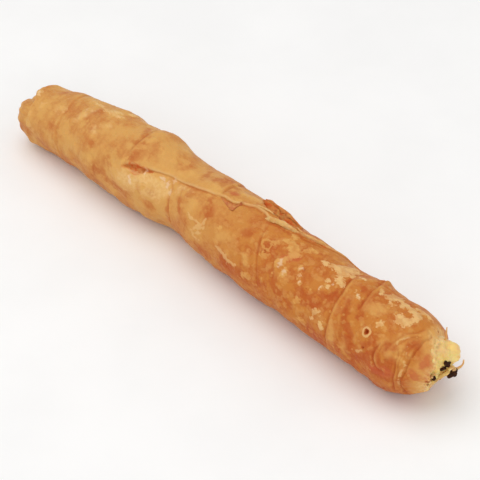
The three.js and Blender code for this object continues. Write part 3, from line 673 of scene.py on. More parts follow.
def shaped_grid(name, steps_long, steps_round, place):
    """A grid sent to place(u, v), both from 0 to 1, which gives millimetres and named fields."""
    clear_selection()
    bpy.ops.mesh.primitive_grid_add(
        x_subdivisions=steps_long, y_subdivisions=steps_round, size=2, calc_uvs=False
    )
    piece = named(bpy.context.object, name)
    share = (points_of(piece)[:, :2] / 1000 + 1) / 2
    points, fields = place(share[:, 0], share[:, 1])
    move_points(piece, points)
    add_fields(piece, fields)
    close_up(piece)
    return piece


def hand_in(piece, node, material):
    """Puts a finished piece on the part's body, in the place of its solid."""
    piece.data.materials.clear()
    piece.data.materials.append(material)
    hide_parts(node)
    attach(piece, "root")


# ---- The wound dough ----
def outer_stations(count):
    """Places of the rings: closest at the tip and round the folds of the open end."""
    tip = FAR_TIP + TIP_LENGTH * (1 - np.cos(np.linspace(0, math.pi / 2, TIP_RINGS + 1)))
    end_rings = round(count * FINE_SHARE)
    middle_rings = count - TIP_RINGS - end_rings
    middle = np.linspace(FAR_TIP + TIP_LENGTH, FINE_FROM, middle_rings, endpoint=False)
    return np.concatenate([tip[:-1], middle, np.linspace(FINE_FROM, NEAR_RIM, end_rings)])


def column_angle(x, column, columns):
    """Angle of a grid column at x: fine where it is seen from above, two on the free edge."""
    edge = np.clip(lap_angle(x), -60, 60)
    before, middle = round(columns * HIGH_SHARE), round(columns * LOW_SHARE)
    hug = HUG / ARC
    high = HIGH_EDGE + (edge - hug - HIGH_EDGE) * column / before
    mid = edge + hug + (LOW_EDGE - edge - hug) * (column - before - 1) / (middle - before - 1)
    low = LOW_EDGE + (HIGH_EDGE + 360 - LOW_EDGE) * (column - middle) / (columns - middle)
    return np.where(column <= before, high, np.where(column <= middle, mid, low))


def skin_fields(x, angle):
    """Masks that colour the skin: reach in millimetres, or a share from 0 to 1."""
    side = turn_between(angle, FACE_ANGLE)
    from_top = turn_between(angle, 0)
    above = above_lap(x, angle)
    lap_shown = smooth(x, LAP_FROM - 1, LAP_FROM + 3) * (1 - smooth(x, 56, 66))
    near, low, back = smooth(x, -60, 100), smooth(from_top, 62, 112), smooth(-from_top, 30, 80)
    # Browning, with painted shade that darkens the lower side and the upper back of the roll.
    toast_and_shade = 0.16 + 0.12 * near + (0.22 + 0.16 * near) * low + 0.3 * back
    toast_and_shade = toast_and_shade + 0.1 * smooth(x, 96, 118) * smooth(side, -50, 10)
    toast_and_shade -= 0.26 * back * smooth(x, 118, 124)
    toast_and_shade -= 0.3 * smooth(x, 124.5, 127) + 0.35 * bell(x, -45, 14) * bell(angle, 66, 18)
    # Masks of painted shade in the grooves of the folds and of painted highlight on their crests.
    _, groove, crest_highlight = folds(x, angle)
    # Painted shadow just below the free edge of the top sheet.
    shadow = bell(above, -0.3, 0.4) * smooth(-above, -0.1, 0.1) * (1 - 0.8 * bell(x, -31, 7))
    to_rim = x - NEAR_RIM + rim_notch(angle)
    plain = {
        "faint": FAINT_PATCHES, "glint": GLINTS, "sheen": SHEENS, "smear": SMEARS, "blush": BLUSHES,
        "line": PAINTED_SHADE_LINES,
    }
    return {
        **{name: strokes_reach(x, angle, strokes) for name, strokes in plain.items()},
        "pale": blister_reach(x, angle, PALE_PATCHES),
        "spot": blister_reach(x, angle, SPOTS),
        "thread": thread_reach(x, angle),
        "tear": np.max(tear_reaches(x, angle), 0),
        # Painted highlight along the free edge of the top sheet, then the painted shadow below that edge.
        "sheet": lap_shown * bell(above, 0.3, 0.45) * smooth(above, -0.1, 0.1),
        "shadow": lap_shown * shadow,
        "toast_and_shade": toast_and_shade,
        "near": near,
        "pimple": pimples(x, angle)[1],
        "speck": 0.35 + 0.65 * smooth(x, -10, 50) + 0.9 * bell(x, 59, 14) * bell(side, 22, 26),
        "skin_x": x,
        "skin_arc": side * ARC,
        "groove": groove,
        "crest_highlight": crest_highlight,
        "rim": smooth(to_rim, -7.0, -3.0),
        "lip": smooth(to_rim, -2.4, -0.2),
    }


def build_wound_dough(look):
    """The dough as one closed wall: the skin, over the torn rim and down the inside."""
    outer, columns = look.rings, look.columns
    rings = outer + RIM_RINGS + INSIDE_RINGS
    stations = outer_stations(outer)

    def place(u, v):
        ring = np.rint(u * rings).astype(int)
        x = np.interp(ring, np.arange(outer), stations)
        angle = column_angle(x, np.rint(v * columns), columns)
        x = x - rim_notch(angle) * smooth(x, 119, NEAR_RIM)
        run = rim_pull(x, angle) + nub_run(x, angle)
        radius = outer_radius(x, angle)
        skin = around(x + run, angle, radius)
        # Over the rim: a rounded, ragged lip that thins towards the hollow.
        over = np.clip((ring - outer + 1) / RIM_RINGS, 0, 1) * math.pi
        lip_wall = 0.7 + 0.2 * skin_noise(0 * x, angle, 3.0, 32)
        bulge = 0.5 + 0.25 * skin_noise(0 * x, angle, 2.0, 31)
        lip_radius = radius - lip_wall / 2 + lip_wall / 2 * np.cos(over)
        lip = around(x + run + bulge * np.sin(over), angle, lip_radius)
        # Down the inside wall to its blind end.
        depth = np.clip((ring - outer - RIM_RINGS + 1) / INSIDE_RINGS, 0, 1)
        rim_x = NEAR_RIM - rim_notch(angle)
        inside_x = rim_x + (CORE_START - rim_x) * depth**1.5
        rim_gap = roll_radius(rim_x) - 0.7 - hollow_radius(rim_x)
        inside_radius = hollow_radius(inside_x) + smooth(inside_x, rim_x - 7, rim_x) * rim_gap
        wall = around(inside_x + rim_pull(inside_x, angle), angle, np.maximum(0, inside_radius))
        wall[depth >= 1] = around(inside_x, angle * 0, angle * 0)[depth >= 1]
        over_rim = (ring < outer + RIM_RINGS)[:, None]
        points = np.where((ring < outer)[:, None], skin, np.where(over_rim, lip, wall))
        points[ring == 0] = around(x, angle * 0, angle * 0)[ring == 0]
        return points, skin_fields(x, angle)

    return shaped_grid("wound_dough", rings, columns, place)


# ---- Loose flakes, threads and folds ----
def spline(points, share):
    """A smooth line through hand-placed points, read at shares of its length."""
    ends = np.array(points, float)
    marks = np.concatenate([[0], np.cumsum(np.linalg.norm(np.diff(ends, axis=0), axis=1))])
    marks = marks / marks[-1]
    slopes = np.gradient(ends, marks, axis=0)
    index = np.clip(np.searchsorted(marks, share, side="right") - 1, 0, len(marks) - 2)
    span = (marks[index + 1] - marks[index])[:, None]
    t = (share - marks[index])[:, None] / span
    return (
        (2 * t**3 - 3 * t**2 + 1) * ends[index]
        + (t**3 - 2 * t**2 + t) * span * slopes[index]
        + (3 * t**2 - 2 * t**3) * ends[index + 1]
        + (t**3 - t**2) * span * slopes[index + 1]
    )


def heading(points, share):
    """Which way a smooth line runs there, not yet of unit length."""
    return spline(points, np.clip(share + 0.01, 0, 1)) - spline(points, np.clip(share - 0.01, 0, 1))


def unit(vectors):
    return vectors / np.maximum(np.linalg.norm(vectors, axis=1, keepdims=True), 1e-9)


def on_skin(x, angle, lift):
    """Points that lie a lift above the skin."""
    return around(x + rim_pull(x, angle) + nub_run(x, angle), angle, outer_radius(x, angle) + lift)


def build_flake(name, points, wide, thick, seed):
    """A thin torn strip of the top sheet that lies on the skin."""

    def place(u, v):
        line, ahead = spline(points, u), heading(points, u)
        run = unit(np.stack([ahead[:, 0], ahead[:, 1] * ARC], -1))
        turn = v * 2 * math.pi
        ragged = 1 + 0.28 * lattice_noise(u * 7 + seed, 0 * u + (v > 0.5), 2, seed)
        half = wide / 2 * np.sqrt(np.clip(np.sin(math.pi * (0.04 + 0.92 * u)), 0, 1)) * ragged
        side = half * np.sign(np.cos(turn)) * np.abs(np.cos(turn)) ** 0.6
        high = thick / 2 * np.sin(turn) * (1 - 0.5 * bell(u, 0, 0.1) - 0.5 * bell(u, 1, 0.1))
        wave = 0.12 * lattice_noise(u * 5, v * 0, 2, seed + 9)
        x = line[:, 0] - side * run[:, 1]
        angle = line[:, 1] + side * run[:, 0] / ARC
        return on_skin(x, angle, line[:, 2] + high + wave), {"edge": np.abs(np.cos(turn))}

    return shaped_grid(name, 40, 12, place)


def build_dog_ear(name):
    """The folded corner of the top sheet, a thin solid between two edges."""
    thick = 0.4

    def place(u, v):
        turn = v * 2 * math.pi
        across = 0.5 - 0.5 * np.cos(turn)
        outer, inner = spline(DOG_EAR_OUTER, u), spline(DOG_EAR_INNER, u)
        line = outer + (inner - outer) * across[:, None]
        puff = 0.25 * np.sin(math.pi * across) * np.sin(math.pi * u)
        lift = line[:, 2] + puff + thick / 2 * np.sin(turn) + 0.12 * lattice_noise(u * 6, across * 3, 8, 3)
        lift = lift + 0.2 * bell(u, 0.5, 0.07) * (1 - across)
        return on_skin(line[:, 0], line[:, 1], lift), {"edge": np.abs(np.cos(turn))}

    return shaped_grid(name, 44, 20, place)


def from_axis(place):
    """A place in the frame, from x and the distances to the axis there."""
    x, y, z = place
    base_y, base_z = axis_place(np.array(x, float))
    return np.array([x, base_y + y, base_z + z], float)


def build_thread(name, points, wide, thick, start, end, seed):
    """A dried thread: a flat rod along a smooth line, start and end times as wide at its ends."""
    line_points = [from_axis(p) for p in points]

    def place(u, v):
        line, ahead = spline(line_points, u), unit(heading(line_points, u))
        side = unit(np.cross(ahead, [1.0, 0.0, 0.0]))
        rise = np.cross(side, ahead)
        turn = v * 2 * math.pi
        width = start + (end - start) * u
        width = width * (1 + 0.18 * lattice_noise(u * 6 + seed, 0 * u, 2, seed + 20))
        closed = np.sqrt(np.clip(1 - np.maximum(0, (np.abs(2 * u - 1) - 0.94) / 0.06) ** 2, 0, 1))
        half = width * closed
        wave = 0.15 * lattice_noise(u * 5 + seed, v * 0, 2, seed + 22)
        return (
            line
            + side * (wide / 2 * half * np.cos(turn))[:, None]
            + rise * (thick / 2 * half * np.sin(turn) + wave * closed)[:, None]
        ), {"edge": np.abs(np.cos(turn)), "low": np.cos(turn)}

    return shaped_grid(name, 36, 12, place)


# ---- Potato and charred bits ----
def solid_noise(points, size, seed):
    """Soft noise from -1 to 1 through space, with lumps of `size` millimetres."""
    table = np.random.default_rng(seed).random((NOISE_CUBE,) * 3) * 2 - 1
    place = points / size + 500.0
    low = np.floor(place).astype(int)
    share = smooth(place - low, 0.0, 1.0)
    total = np.zeros(len(points))
    for corner in np.ndindex(2, 2, 2):
        weight = np.prod(np.where(corner, share, 1 - share), axis=1)
        total += weight * table[tuple(((low + corner) % NOISE_CUBE).T)]
    return total


def join_pieces(pieces):
    clear_selection()
    for piece in pieces:
        piece.select_set(True)
    bpy.context.view_layer.objects.active = pieces[0]
    bpy.ops.object.join()
    return pieces[0]


def apply_modifier(piece, kind, **settings):
    pick(piece)
    modifier = piece.modifiers.new(kind.title(), kind)
    for key, value in settings.items():
        setattr(modifier, key, value)
    bpy.ops.object.modifier_apply(modifier=modifier.name)


def build_lump(at, size, detail):
    """An uneven lump at a place from the axis."""
    clear_selection()
    bpy.ops.mesh.primitive_ico_sphere_add(subdivisions=detail, radius=1)
    piece = bpy.context.object
    ball = points_of(piece) / 1000
    centre = from_axis(at)
    uneven = 1 + 0.12 * np.sin(4 * ball[:, 1] + centre[1]) + 0.1 * np.sin(5 * ball[:, 2] + 3 * ball[:, 0])
    move_points(piece, centre + ball * uneven[:, None] * np.array(size))
    return piece


def grow_together(pieces, voxel, smoothing=0):
    """Joins pieces into one skin without seams. Gives the piece, its points and its normals."""
    piece = join_pieces(pieces)
    apply_modifier(piece, "REMESH", mode="VOXEL", voxel_size=voxel / 1000)
    if smoothing:
        apply_modifier(piece, "SMOOTH", factor=0.5, iterations=smoothing)
    return piece, points_of(piece), read_points(piece, "normal")


def core_point(x, angle, radius):
    turn = np.radians(angle)
    y, z = axis_place(x)
    return np.stack([x, y - radius * np.sin(turn), z + radius * np.cos(turn)], -1)


def build_potato_core():
    """The filling inside the roll, up to where its rough open face takes over."""
    start = CORE_START + CLEARANCE

    def place(u, v):
        x = start + (CORE_END - start) * np.clip((u - 0.02) / 0.96, 0, 1)
        closed = (u <= 0) | (u > 0.995)
        radius = np.maximum(0, hollow_radius(x) - CLEARANCE) * np.where(closed, 0, 1)
        return core_point(x, v * 360, radius), {"deep": 0 * u, "mash": 0 * u}

    return shaped_grid("potato_core", 60, 40, place)


def build_potato_face():
    """The crumbly open face of the filling: a plug and lumps of mash grown together."""

    def place(u, v):
        upward = np.cos(2 * math.pi * v)
        x = PLUG_START + (DOME_START - PLUG_START) * np.clip(u / DOME_SHARE, 0, 1)
        inside = hollow_radius(x) - CLEARANCE - 0.35
        swell = smooth(x, 121, 126.5) * (roll_radius(x) - DOME_INSET - inside)
        radius = np.maximum(0, inside + swell) * np.where(u <= 0, 0, 1)
        dome = np.clip((u - DOME_SHARE) / (1 - DOME_SHARE), 0, 1) * math.pi / 2
        on_dome = u > DOME_SHARE
        radius = np.where(on_dome, (roll_radius(DOME_START) - DOME_INSET) * np.cos(dome), radius)
        swell_out = 0.5 + 2.1 * smooth(radius * upward, -8, -1)
        x = np.where(on_dome, DOME_START + swell_out * np.sin(dome), x)
        x = x - 1.7 * smooth(-upward, 0.2, 0.9) * smooth(x, 120, 128)
        return core_point(x, v * 360, radius), {}

    plug = shaped_grid("potato_face", 40, 40, place)
    lumps = [build_lump(at, size, 4) for at, size in LUMPS + RIM_MASH]
    plug, points, normals = grow_together([plug, *lumps], 0.3, 4)
    open_face = smooth(points[:, 0], 125.5, 128.0)
    rough = 0.34 * solid_noise(points, 2.6, 51) + 0.24 * solid_noise(points, 1.2, 52)
    rough += 0.16 * np.abs(solid_noise(points, 0.7, 53))
    # The largest lump is smoother and yellower than the crumbly mash round it.
    at, size = LUMPS[0]
    on_big = bell(np.linalg.norm((points - from_axis(at)) / np.array(size), axis=1), 0.8, 0.45)
    rough *= 1 - 0.55 * on_big
    points = points + normals * ((rough - 0.05) * open_face)[:, None]
    move_points(plug, points)
    middle_y, middle_z = axis_place(points[:, 0])
    outward = smooth(np.hypot(points[:, 1] - middle_y, points[:, 2] - middle_z), 8.6, 10.6)
    paler = np.maximum(smooth(points[:, 0], 131.6, 128.2), outward) * (1 - on_big)
    add_fields(plug, {"mash": 1 - 0.75 * on_big, "deep": paler})
    close_up(plug)
    return plug


def build_char(name, lumps, seed):
    """A charred scrap: crumpled, flat-sided lumps grown together."""
    pieces = [build_lump(at, size, 4) for at, size in lumps]
    piece, points, normals = grow_together(pieces, 0.14)
    crumple = 0.3 * solid_noise(points, 1.2, seed) + 0.16 * solid_noise(points, 0.6, seed + 1)
    crumple += 0.08 * solid_noise(points, 0.3, seed + 2)
    move_points(piece, points + normals * crumple[:, None])
    close_up(piece)
    return named(piece, name)


def build_crumbs(name, places, seed):
    """Small crumbs of mash and dough that cling to the lower edge of the rim."""
    pieces = [build_lump(at, size, 3) for at, size in places]
    piece, points, normals = grow_together(pieces, 0.18, 2)
    rough = 0.16 * solid_noise(points, 1.0, seed) + 0.08 * solid_noise(points, 0.45, seed + 1)
    move_points(piece, points + normals * rough[:, None])
    close_up(piece)
    return named(piece, name)


# ---- Materials ----
def srgb(red, green, blue):
    """A colour as it looks on screen, from 0 to 255, as linear values."""
    parts = [value / 255 for value in (red, green, blue)]
    return tuple(p / 12.92 if p <= 0.04045 else ((p + 0.055) / 1.055) ** 2.4 for p in parts)


def fill(tree, node, values):
    """Links each named input of a node, or gives it a value."""
    for socket, value in dict(values).items():
        if isinstance(value, bpy.types.NodeSocket):
            tree.links.new(value, node.inputs[socket])
        else:
            node.inputs[socket].default_value = value


def add(tree, kind, values=(), **settings):
    """A node with its settings, its inputs either linked or given a value."""
    node = tree.nodes.new(kind)
    for key, value in settings.items():
        setattr(node, key, value)
    fill(tree, node, values)
    return node


def field(tree, name):
    return add(tree, "ShaderNodeAttribute", attribute_name=name, attribute_type="GEOMETRY").outputs["Fac"]


def maths(tree, operation, *values, clamp=False):
    return add(tree, "ShaderNodeMath", enumerate(values), operation=operation, use_clamp=clamp).outputs[0]


def product(tree, first, *others):
    for other in others:
        first = maths(tree, "MULTIPLY", first, other)
    return first


def swing(tree, base, speckle, amount):
    """The base, moved by how far a speckle lies from its middle."""
    return maths(tree, "MULTIPLY_ADD", maths(tree, "SUBTRACT", speckle, 0.5), amount, base)


def spread(tree, value, low, high, first=0.0, last=1.0):
    """A value from low to high as a smooth share from first to last."""
    inputs = {"Value": value, "From Min": low, "From Max": high, "To Min": first, "To Max": last}
    return add(tree, "ShaderNodeMapRange", inputs, interpolation_type="SMOOTHSTEP").outputs["Result"]


def blended(tree, share, first, second):
    """Two colours mixed: each is a link or linear red, green and blue."""

    def colour(value):
        return value if isinstance(value, bpy.types.NodeSocket) else (*tuple(value)[:3], 1.0)

    inputs = {0: share, 6: colour(first), 7: colour(second)}
    return add(tree, "ShaderNodeMix", inputs, data_type="RGBA", blend_type="MIX").outputs[2]


def new_group(name, inputs, outputs):
    """An empty node group and its two end nodes. All its sockets are numbers but for Vector."""
    group = bpy.data.node_groups.new(name, "ShaderNodeTree")
    for way, labels in (("INPUT", inputs), ("OUTPUT", outputs)):
        for label in labels:
            kind = "NodeSocketVector" if label == "Vector" else "NodeSocketFloat"
            group.interface.new_socket(label, in_out=way, socket_type=kind)
    return group, group.nodes.new("NodeGroupInput").outputs, group.nodes.new("NodeGroupOutput").inputs


# The scale and detail of each size of speckle.
SPECKLES = {"Broad": (110, 3), "Middle": (300, 3), "Fine": (900, 3), "Grain": (2600, 2)}


def mottling_group():
    """Baked mottling: four sizes of soft speckle and streaks round the roll, each from 0 to 1."""
    group, given, results = new_group("Baked mottling", ["Vector"], [*SPECKLES, "Streak"])
    for label, (scale, detail) in SPECKLES.items():
        inputs = {"Vector": given["Vector"], "Scale": scale, "Detail": detail, "Roughness": 0.55}
        speckle = add(group, "ShaderNodeTexNoise", inputs).outputs["Fac"]
        group.links.new(spread(group, speckle, 0.3, 0.7), results[label])
    stretched = add(group, "ShaderNodeMapping", {"Vector": given["Vector"], "Scale": (1.0, 0.22, 0.22)})
    inputs = {"Vector": stretched.outputs[0], "Scale": 520.0, "Detail": 3.0}
    streak = add(group, "ShaderNodeTexNoise", inputs).outputs["Fac"]
    group.links.new(spread(group, streak, 0.3, 0.7), results["Streak"])


def dots_group():
    """Blister dots: tiny round marks, some pale and some dark, on about half of the cells."""
    group, given, results = new_group("Blister dots", ["Vector"], ["Pale", "Dark"])
    cells = add(group, "ShaderNodeTexVoronoi", {"Vector": given["Vector"], "Scale": 420.0}).outputs
    dice = add(group, "ShaderNodeSeparateColor", {"Color": cells["Color"]}).outputs
    size = spread(group, dice["Red"], 0.5, 1.0, -0.06, 0.3)
    pale = spread(group, maths(group, "SUBTRACT", size, cells["Distance"]), -0.05, 0.06)
    small = product(group, size, 0.45)
    dark = spread(group, maths(group, "SUBTRACT", small, cells["Distance"]), -0.04, 0.04)
    is_pale = spread(group, dice["Green"], 0.6, 0.62, 1.0, 0.0)
    is_dark = spread(group, dice["Green"], 0.6, 0.62)
    group.links.new(product(group, pale, is_pale), results["Pale"])
    group.links.new(product(group, dark, is_dark), results["Dark"])


def round_mark_group():
    """Round mark: a mask for a disc or a ring at a place on the unrolled skin, in millimetres."""
    names = ("Along", "Round", "At along", "At round", "Outer", "Inner", "Wobble")
    group, given, results = new_group("Round mark", names, ["Mask"])
    along = maths(group, "SUBTRACT", given["Along"], given["At along"])
    across = maths(group, "SUBTRACT", given["Round"], given["At round"])
    squares = maths(group, "MULTIPLY_ADD", along, along, product(group, across, across))
    away = maths(group, "ADD", maths(group, "SQRT", squares), given["Wobble"])
    inside = spread(group, maths(group, "SUBTRACT", given["Outer"], away), -0.25, 0.25)
    beyond = spread(group, maths(group, "SUBTRACT", away, given["Inner"]), -0.2, 0.2)
    group.links.new(product(group, inside, beyond), results["Mask"])


def ragged_group():
    """Ragged mask: turns a reach in millimetres into a mask with a broken edge."""
    names = ("Reach", "Speckle", "Wobble", "Softness")
    group, given, results = new_group("Ragged mask", names, ["Mask"])
    pushed = swing(group, given["Reach"], given["Speckle"], given["Wobble"])
    low = product(group, given["Softness"], -1.0)
    group.links.new(spread(group, pushed, low, given["Softness"]), results["Mask"])


class Finish:
    """A material in the making: colours are laid one over another, then its surface is set."""

    def __init__(self, name, colour, stretch=(1.0, 1.0, 1.0)):
        self.material = bpy.data.materials.new(name)
        self.material.use_nodes = True
        self.tree = self.material.node_tree
        self.colour = colour
        self.place = add(self.tree, "ShaderNodeTexCoord").outputs["Object"]
        scaled = add(self.tree, "ShaderNodeMapping", {"Vector": self.place, "Scale": stretch})
        self.speckles = self.group("Baked mottling", {"Vector": scaled.outputs[0]})

    def group(self, name, inputs):
        """The outputs of a node group that is put to use in this material."""
        group = bpy.data.node_groups[name]
        return add(self.tree, "ShaderNodeGroup", inputs, node_tree=group).outputs

    def field(self, name, low=0.0, high=1.0, first=0.0, last=1.0):
        """A field of the mesh, spread where other ends than 0 and 1 are given."""
        value = field(self.tree, name)
        plain = (low, high, first, last) == (0.0, 1.0, 0.0, 1.0)
        return value if plain else spread(self.tree, value, low, high, first, last)

    def speckle(self, name, low, high, first=0.0, last=1.0):
        return spread(self.tree, self.speckles[name], low, high, first, last)

    def mask(self, name, speckle, wobble, softness):
        """A field of reach as a mask, its edge pushed to and fro by a speckle."""
        inputs = {
            "Reach": field(self.tree, name),
            "Speckle": self.speckles[speckle],
            "Wobble": wobble,
            "Softness": softness,
        }
        return self.group("Ragged mask", inputs)["Mask"]

    def round_mark(self, speckle, at, angle, outer, inner, wobble=0.8):
        """A ring on the skin, or a disc where the inner radius is below 0."""
        inputs = {
            "Along": field(self.tree, "skin_x"),
            "Round": field(self.tree, "skin_arc"),
            "At along": at,
            "At round": (angle - FACE_ANGLE) * ARC,
            "Outer": outer,
            "Inner": inner,
            "Wobble": maths(self.tree, "MULTIPLY_ADD", self.speckles[speckle], wobble, -wobble / 2),
        }
        return self.group("Round mark", inputs)["Mask"]

    def lay(self, tint, *shares):
        """Lays a tint over the colour, by its shares multiplied together."""
        self.colour = blended(self.tree, product(self.tree, *shares), self.colour, tint)

    def set_shader(self, values):
        fill(self.tree, self.tree.nodes["Principled BSDF"], values)

    def surface(self, roughness, bump, inside, depth):
        """Sets colour and roughness, adds fine bumps and lets some light into the surface."""
        rough = maths(self.tree, "MULTIPLY_ADD", self.speckles["Grain"], 0.4, self.speckles["Fine"])
        bumps = add(self.tree, "ShaderNodeBump", {"Height": rough, "Strength": 1.0, "Distance": bump})
        self.set_shader({
            "Base Color": self.colour,
            "Roughness": roughness,
            "Normal": bumps.outputs["Normal"],
            "Subsurface Weight": inside,
            "Subsurface Radius": (1.0, 0.42, 0.16),
            "Subsurface Scale": depth,
        })


def dough_material(look):
    finish = Finish("Baked dough", look.golden, (0.8, 1.0, 1.0))
    tree, speckles = finish.tree, finish.speckles
    finish.lay(look.tan, finish.field("near", 0.0, 0.7))
    # Browning is uneven, and more so near the open end; the same field holds painted shade on the lower side
    # and the upper back.
    toast_and_shade = finish.field("toast_and_shade")
    for name, far_end, open_end in (("Broad", 0.6, 0.86), ("Middle", 0.34, 0.62), ("Fine", 0.1, 0.28)):
        toast_and_shade = swing(tree, toast_and_shade, speckles[name], finish.field("near", 0.0, 0.8, far_end, open_end))
    toast_and_shade = swing(tree, toast_and_shade, speckles["Streak"], 0.2)
    finish.lay(look.brown_and_shade, maths(tree, "MULTIPLY", toast_and_shade, look.browning, clamp=True))
    finish.lay(look.straw_and_highlight, finish.speckle("Middle", 0.5, 1.0, 0.0, 0.4))
    finish.lay(look.straw_and_highlight, finish.mask("faint", "Middle", 2.2, 1.9), 0.6)
    stronger = finish.field("near", 0.0, 1.0, 0.52, 0.7)
    finish.lay(look.brown_and_shade, finish.mask("smear", "Middle", 3.0, 1.6), stronger)
    # Painted shadow under the edge of the top sheet and a painted highlight along it, painted highlight on
    # the crests of the folds and painted shade in their grooves, and the paler torn rim.
    for name, amount, tint in (
        ("shadow", 0.5, look.brown_and_shade),
        ("sheet", 0.8, look.cream_and_highlight),
        ("crest_highlight", 0.4, look.straw_and_highlight),
        ("groove", 0.6, look.deep),
        ("rim", 0.6, look.straw_and_highlight),
    ):
        finish.lay(tint, finish.field(name), amount)
    # Painted sheen in soft patches.
    patchy = finish.speckle("Fine", 0.1, 0.9, 0.4, 0.85)
    finish.lay(look.cream_and_highlight, finish.mask("sheen", "Middle", 4.0, 2.6), patchy)
    finish.lay(look.cream_and_highlight, finish.field("lip"), finish.speckle("Fine", 0.1, 0.9, 0.1, 0.6))
    finish.lay(look.blush, finish.mask("blush", "Middle", 1.6, 1.1), 0.62)
    # Tiny dots, small blisters, and dark lines of painted shade in cracks and under the flakes.
    dots = finish.group("Blister dots", {"Vector": finish.place})
    finish.lay(look.straw_and_highlight, dots["Pale"], finish.field("speck"), 0.4)
    finish.lay(look.deep, dots["Dark"], finish.field("speck"), 0.5)
    finish.lay(look.straw_and_highlight, finish.mask("pimple", "Fine", 1.0, 0.5), 0.3)
    finish.lay(look.deep, finish.mask("line", "Fine", 0.4, 0.7), 0.6)
    # Painted shade inside the gaps between the sheets, darkest where they are deepest; then the dry threads
    # and blisters.
    inside = blended(tree, finish.speckle("Middle", 0.2, 0.9, 0.0, 0.6), look.gap_shade, look.golden)
    finish.lay(inside, finish.mask("tear", "Fine", 0.8, 0.6), 0.85)
    finish.lay(look.pit_shade, finish.field("tear", 1.0, 2.2, 0.0, 0.75))
    finish.lay(look.cream_and_highlight, finish.mask("thread", "Fine", 0.7, 0.28), 0.55)
    uneven = finish.speckle("Middle", 0.1, 0.8, 0.5, 0.88)
    finish.lay(look.straw_and_highlight, finish.mask("spot", "Fine", 1.6, 0.6), 0.82, uneven)
    finish.lay(look.cream_and_highlight, finish.mask("pale", "Fine", 1.6, 0.3), uneven)
    finish.lay(look.glint, finish.mask("glint", "Fine", 1.2, 0.5), 0.6)
    # A pale round blister, and the pinholes darkened with painted shade: the first with its ring.
    finish.lay(look.straw_and_highlight, finish.round_mark("Middle", 34.7, 30, 2.7, 1.4, 1.8), 0.5)
    finish.lay(look.brown_and_shade, finish.round_mark("Middle", 34.7, 30, 1.3, -1.0, 1.6), 0.4)
    finish.lay(look.cream_and_highlight, finish.round_mark("Middle", 101.5, 48, 2.3, 1.15), 0.75)
    finish.lay(look.deep, finish.round_mark("Middle", 101.6, 47.6, 1.0, -1.0))
    for at, angle, wide, _ in PINHOLES[1:]:
        finish.lay(look.deep, finish.round_mark("Fine", at, angle, wide, -1.0))
    finish.surface(finish.speckle("Middle", 0.0, 1.0, 0.4, 0.55), 0.00014, 0.12, 0.0013)
    finish.set_shader({"Specular IOR Level": 0.08, "Coat Weight": look.oil, "Coat Roughness": 0.4})
    return finish.material


def flake_material(look, name, light, dark):
    finish = Finish(name, light)
    finish.lay(dark, finish.speckle("Middle", 0.1, 0.9, 0.1, 0.7))
    finish.lay(look.tan, finish.speckle("Fine", 0.6, 1.0, 0.0, 0.4))
    finish.lay(look.brown_and_shade, finish.field("edge"), 0.25)
    finish.surface(finish.speckle("Fine", 0.0, 1.0, 0.45, 0.6), 0.0001, 0.25, 0.0015)
    finish.set_shader({"Specular IOR Level": 0.08})
    return finish.material


def corner_material(look):
    finish = Finish("Turned corner", look.tan)
    finish.lay(look.brown_and_shade, finish.speckle("Middle", 0.1, 0.9, 0.3, 0.8))
    finish.lay(look.straw_and_highlight, finish.speckle("Fine", 0.4, 1.0, 0.0, 0.35))
    # Painted shade along the edges of the turned corner.
    finish.lay(look.deep, finish.field("edge", 0.8, 1.0, 0.0, 0.85))
    finish.surface(finish.speckle("Fine", 0.0, 1.0, 0.42, 0.55), 0.0001, 0.2, 0.0015)
    return finish.material


def potato_material(look):
    finish = Finish("Potato mash", look.potato)
    finish.lay(look.potato_deep, finish.field("mash"), finish.speckle("Middle", 0.0, 1.0, 0.0, 0.9))
    finish.lay(look.cream_and_highlight, finish.speckle("Fine", 0.5, 1.0, 0.0, 0.5))
    finish.lay(look.cream_and_highlight, finish.field("deep"), finish.speckle("Middle", 0.0, 1.0, 0.5, 1.0))
    finish.surface(finish.speckle("Fine", 0.0, 1.0, 0.38, 0.55), 0.00014, 0.35, 0.0025)
    return finish.material


def crumb_material(look):
    finish = Finish("Pale crumbs", look.potato)
    finish.lay(look.straw_and_highlight, finish.speckle("Middle", 0.1, 0.7))
    finish.lay(look.glint, finish.speckle("Grain", 0.6, 0.9, 0.0, 0.7))
    finish.lay(look.brown_and_shade, finish.speckle("Fine", 0.7, 1.0, 0.0, 0.7))
    finish.surface(finish.speckle("Fine", 0.0, 1.0, 0.3, 0.5), 0.00014, 0.1, 0.001)
    return finish.material


def char_material(look):
    finish = Finish("Charred scrap", look.char)
    finish.lay(look.char_edge, finish.speckle("Fine", 0.55, 1.0, 0.0, 0.55))
    finish.surface(finish.speckle("Fine", 0.0, 1.0, 0.55, 0.85), 0.0002, 0.0, 0.001)
    finish.set_shader({"Specular IOR Level": 0.12})
    return finish.material


def fold_material(look):
    finish = Finish("Olive skin fold", look.fold)
    finish.lay(look.potato_deep, finish.speckles["Middle"])
    # Painted shade on the lower edge of the skin fold.
    finish.lay(look.deep, finish.field("low", 0.2, 1.0, 0.0, 0.5))
    finish.surface(finish.speckle("Fine", 0.0, 1.0, 0.4, 0.55), 0.0001, 0.2, 0.0015)
    return finish.material


def floor_material(look):
    finish = Finish("Pale floor", look.floor, (0.05, 0.05, 0.05))
    finish.lay([value * 0.97 for value in look.floor], finish.speckles["Middle"])
    roughness = finish.speckle("Fine", 0.0, 1.0, 0.6, 0.7)
    finish.set_shader({"Base Color": finish.colour, "Roughness": roughness, "Specular IOR Level": 0.1})
    return finish.material


# ---- What a user can change ----
def colour_property(label, description, value):
    return FloatVectorProperty(
        name=label, description=description, subtype="COLOR", size=3, min=0.0, max=1.0, default=srgb(*value)
    )


def share_property(label, description, value, high):
    return FloatProperty(
        name=label, description=description, default=value, min=0, max=high, subtype="FACTOR"
    )


def power_property(label, description, value):
    return FloatProperty(name=label, description=description, default=value, min=0, max=60, unit="POWER")


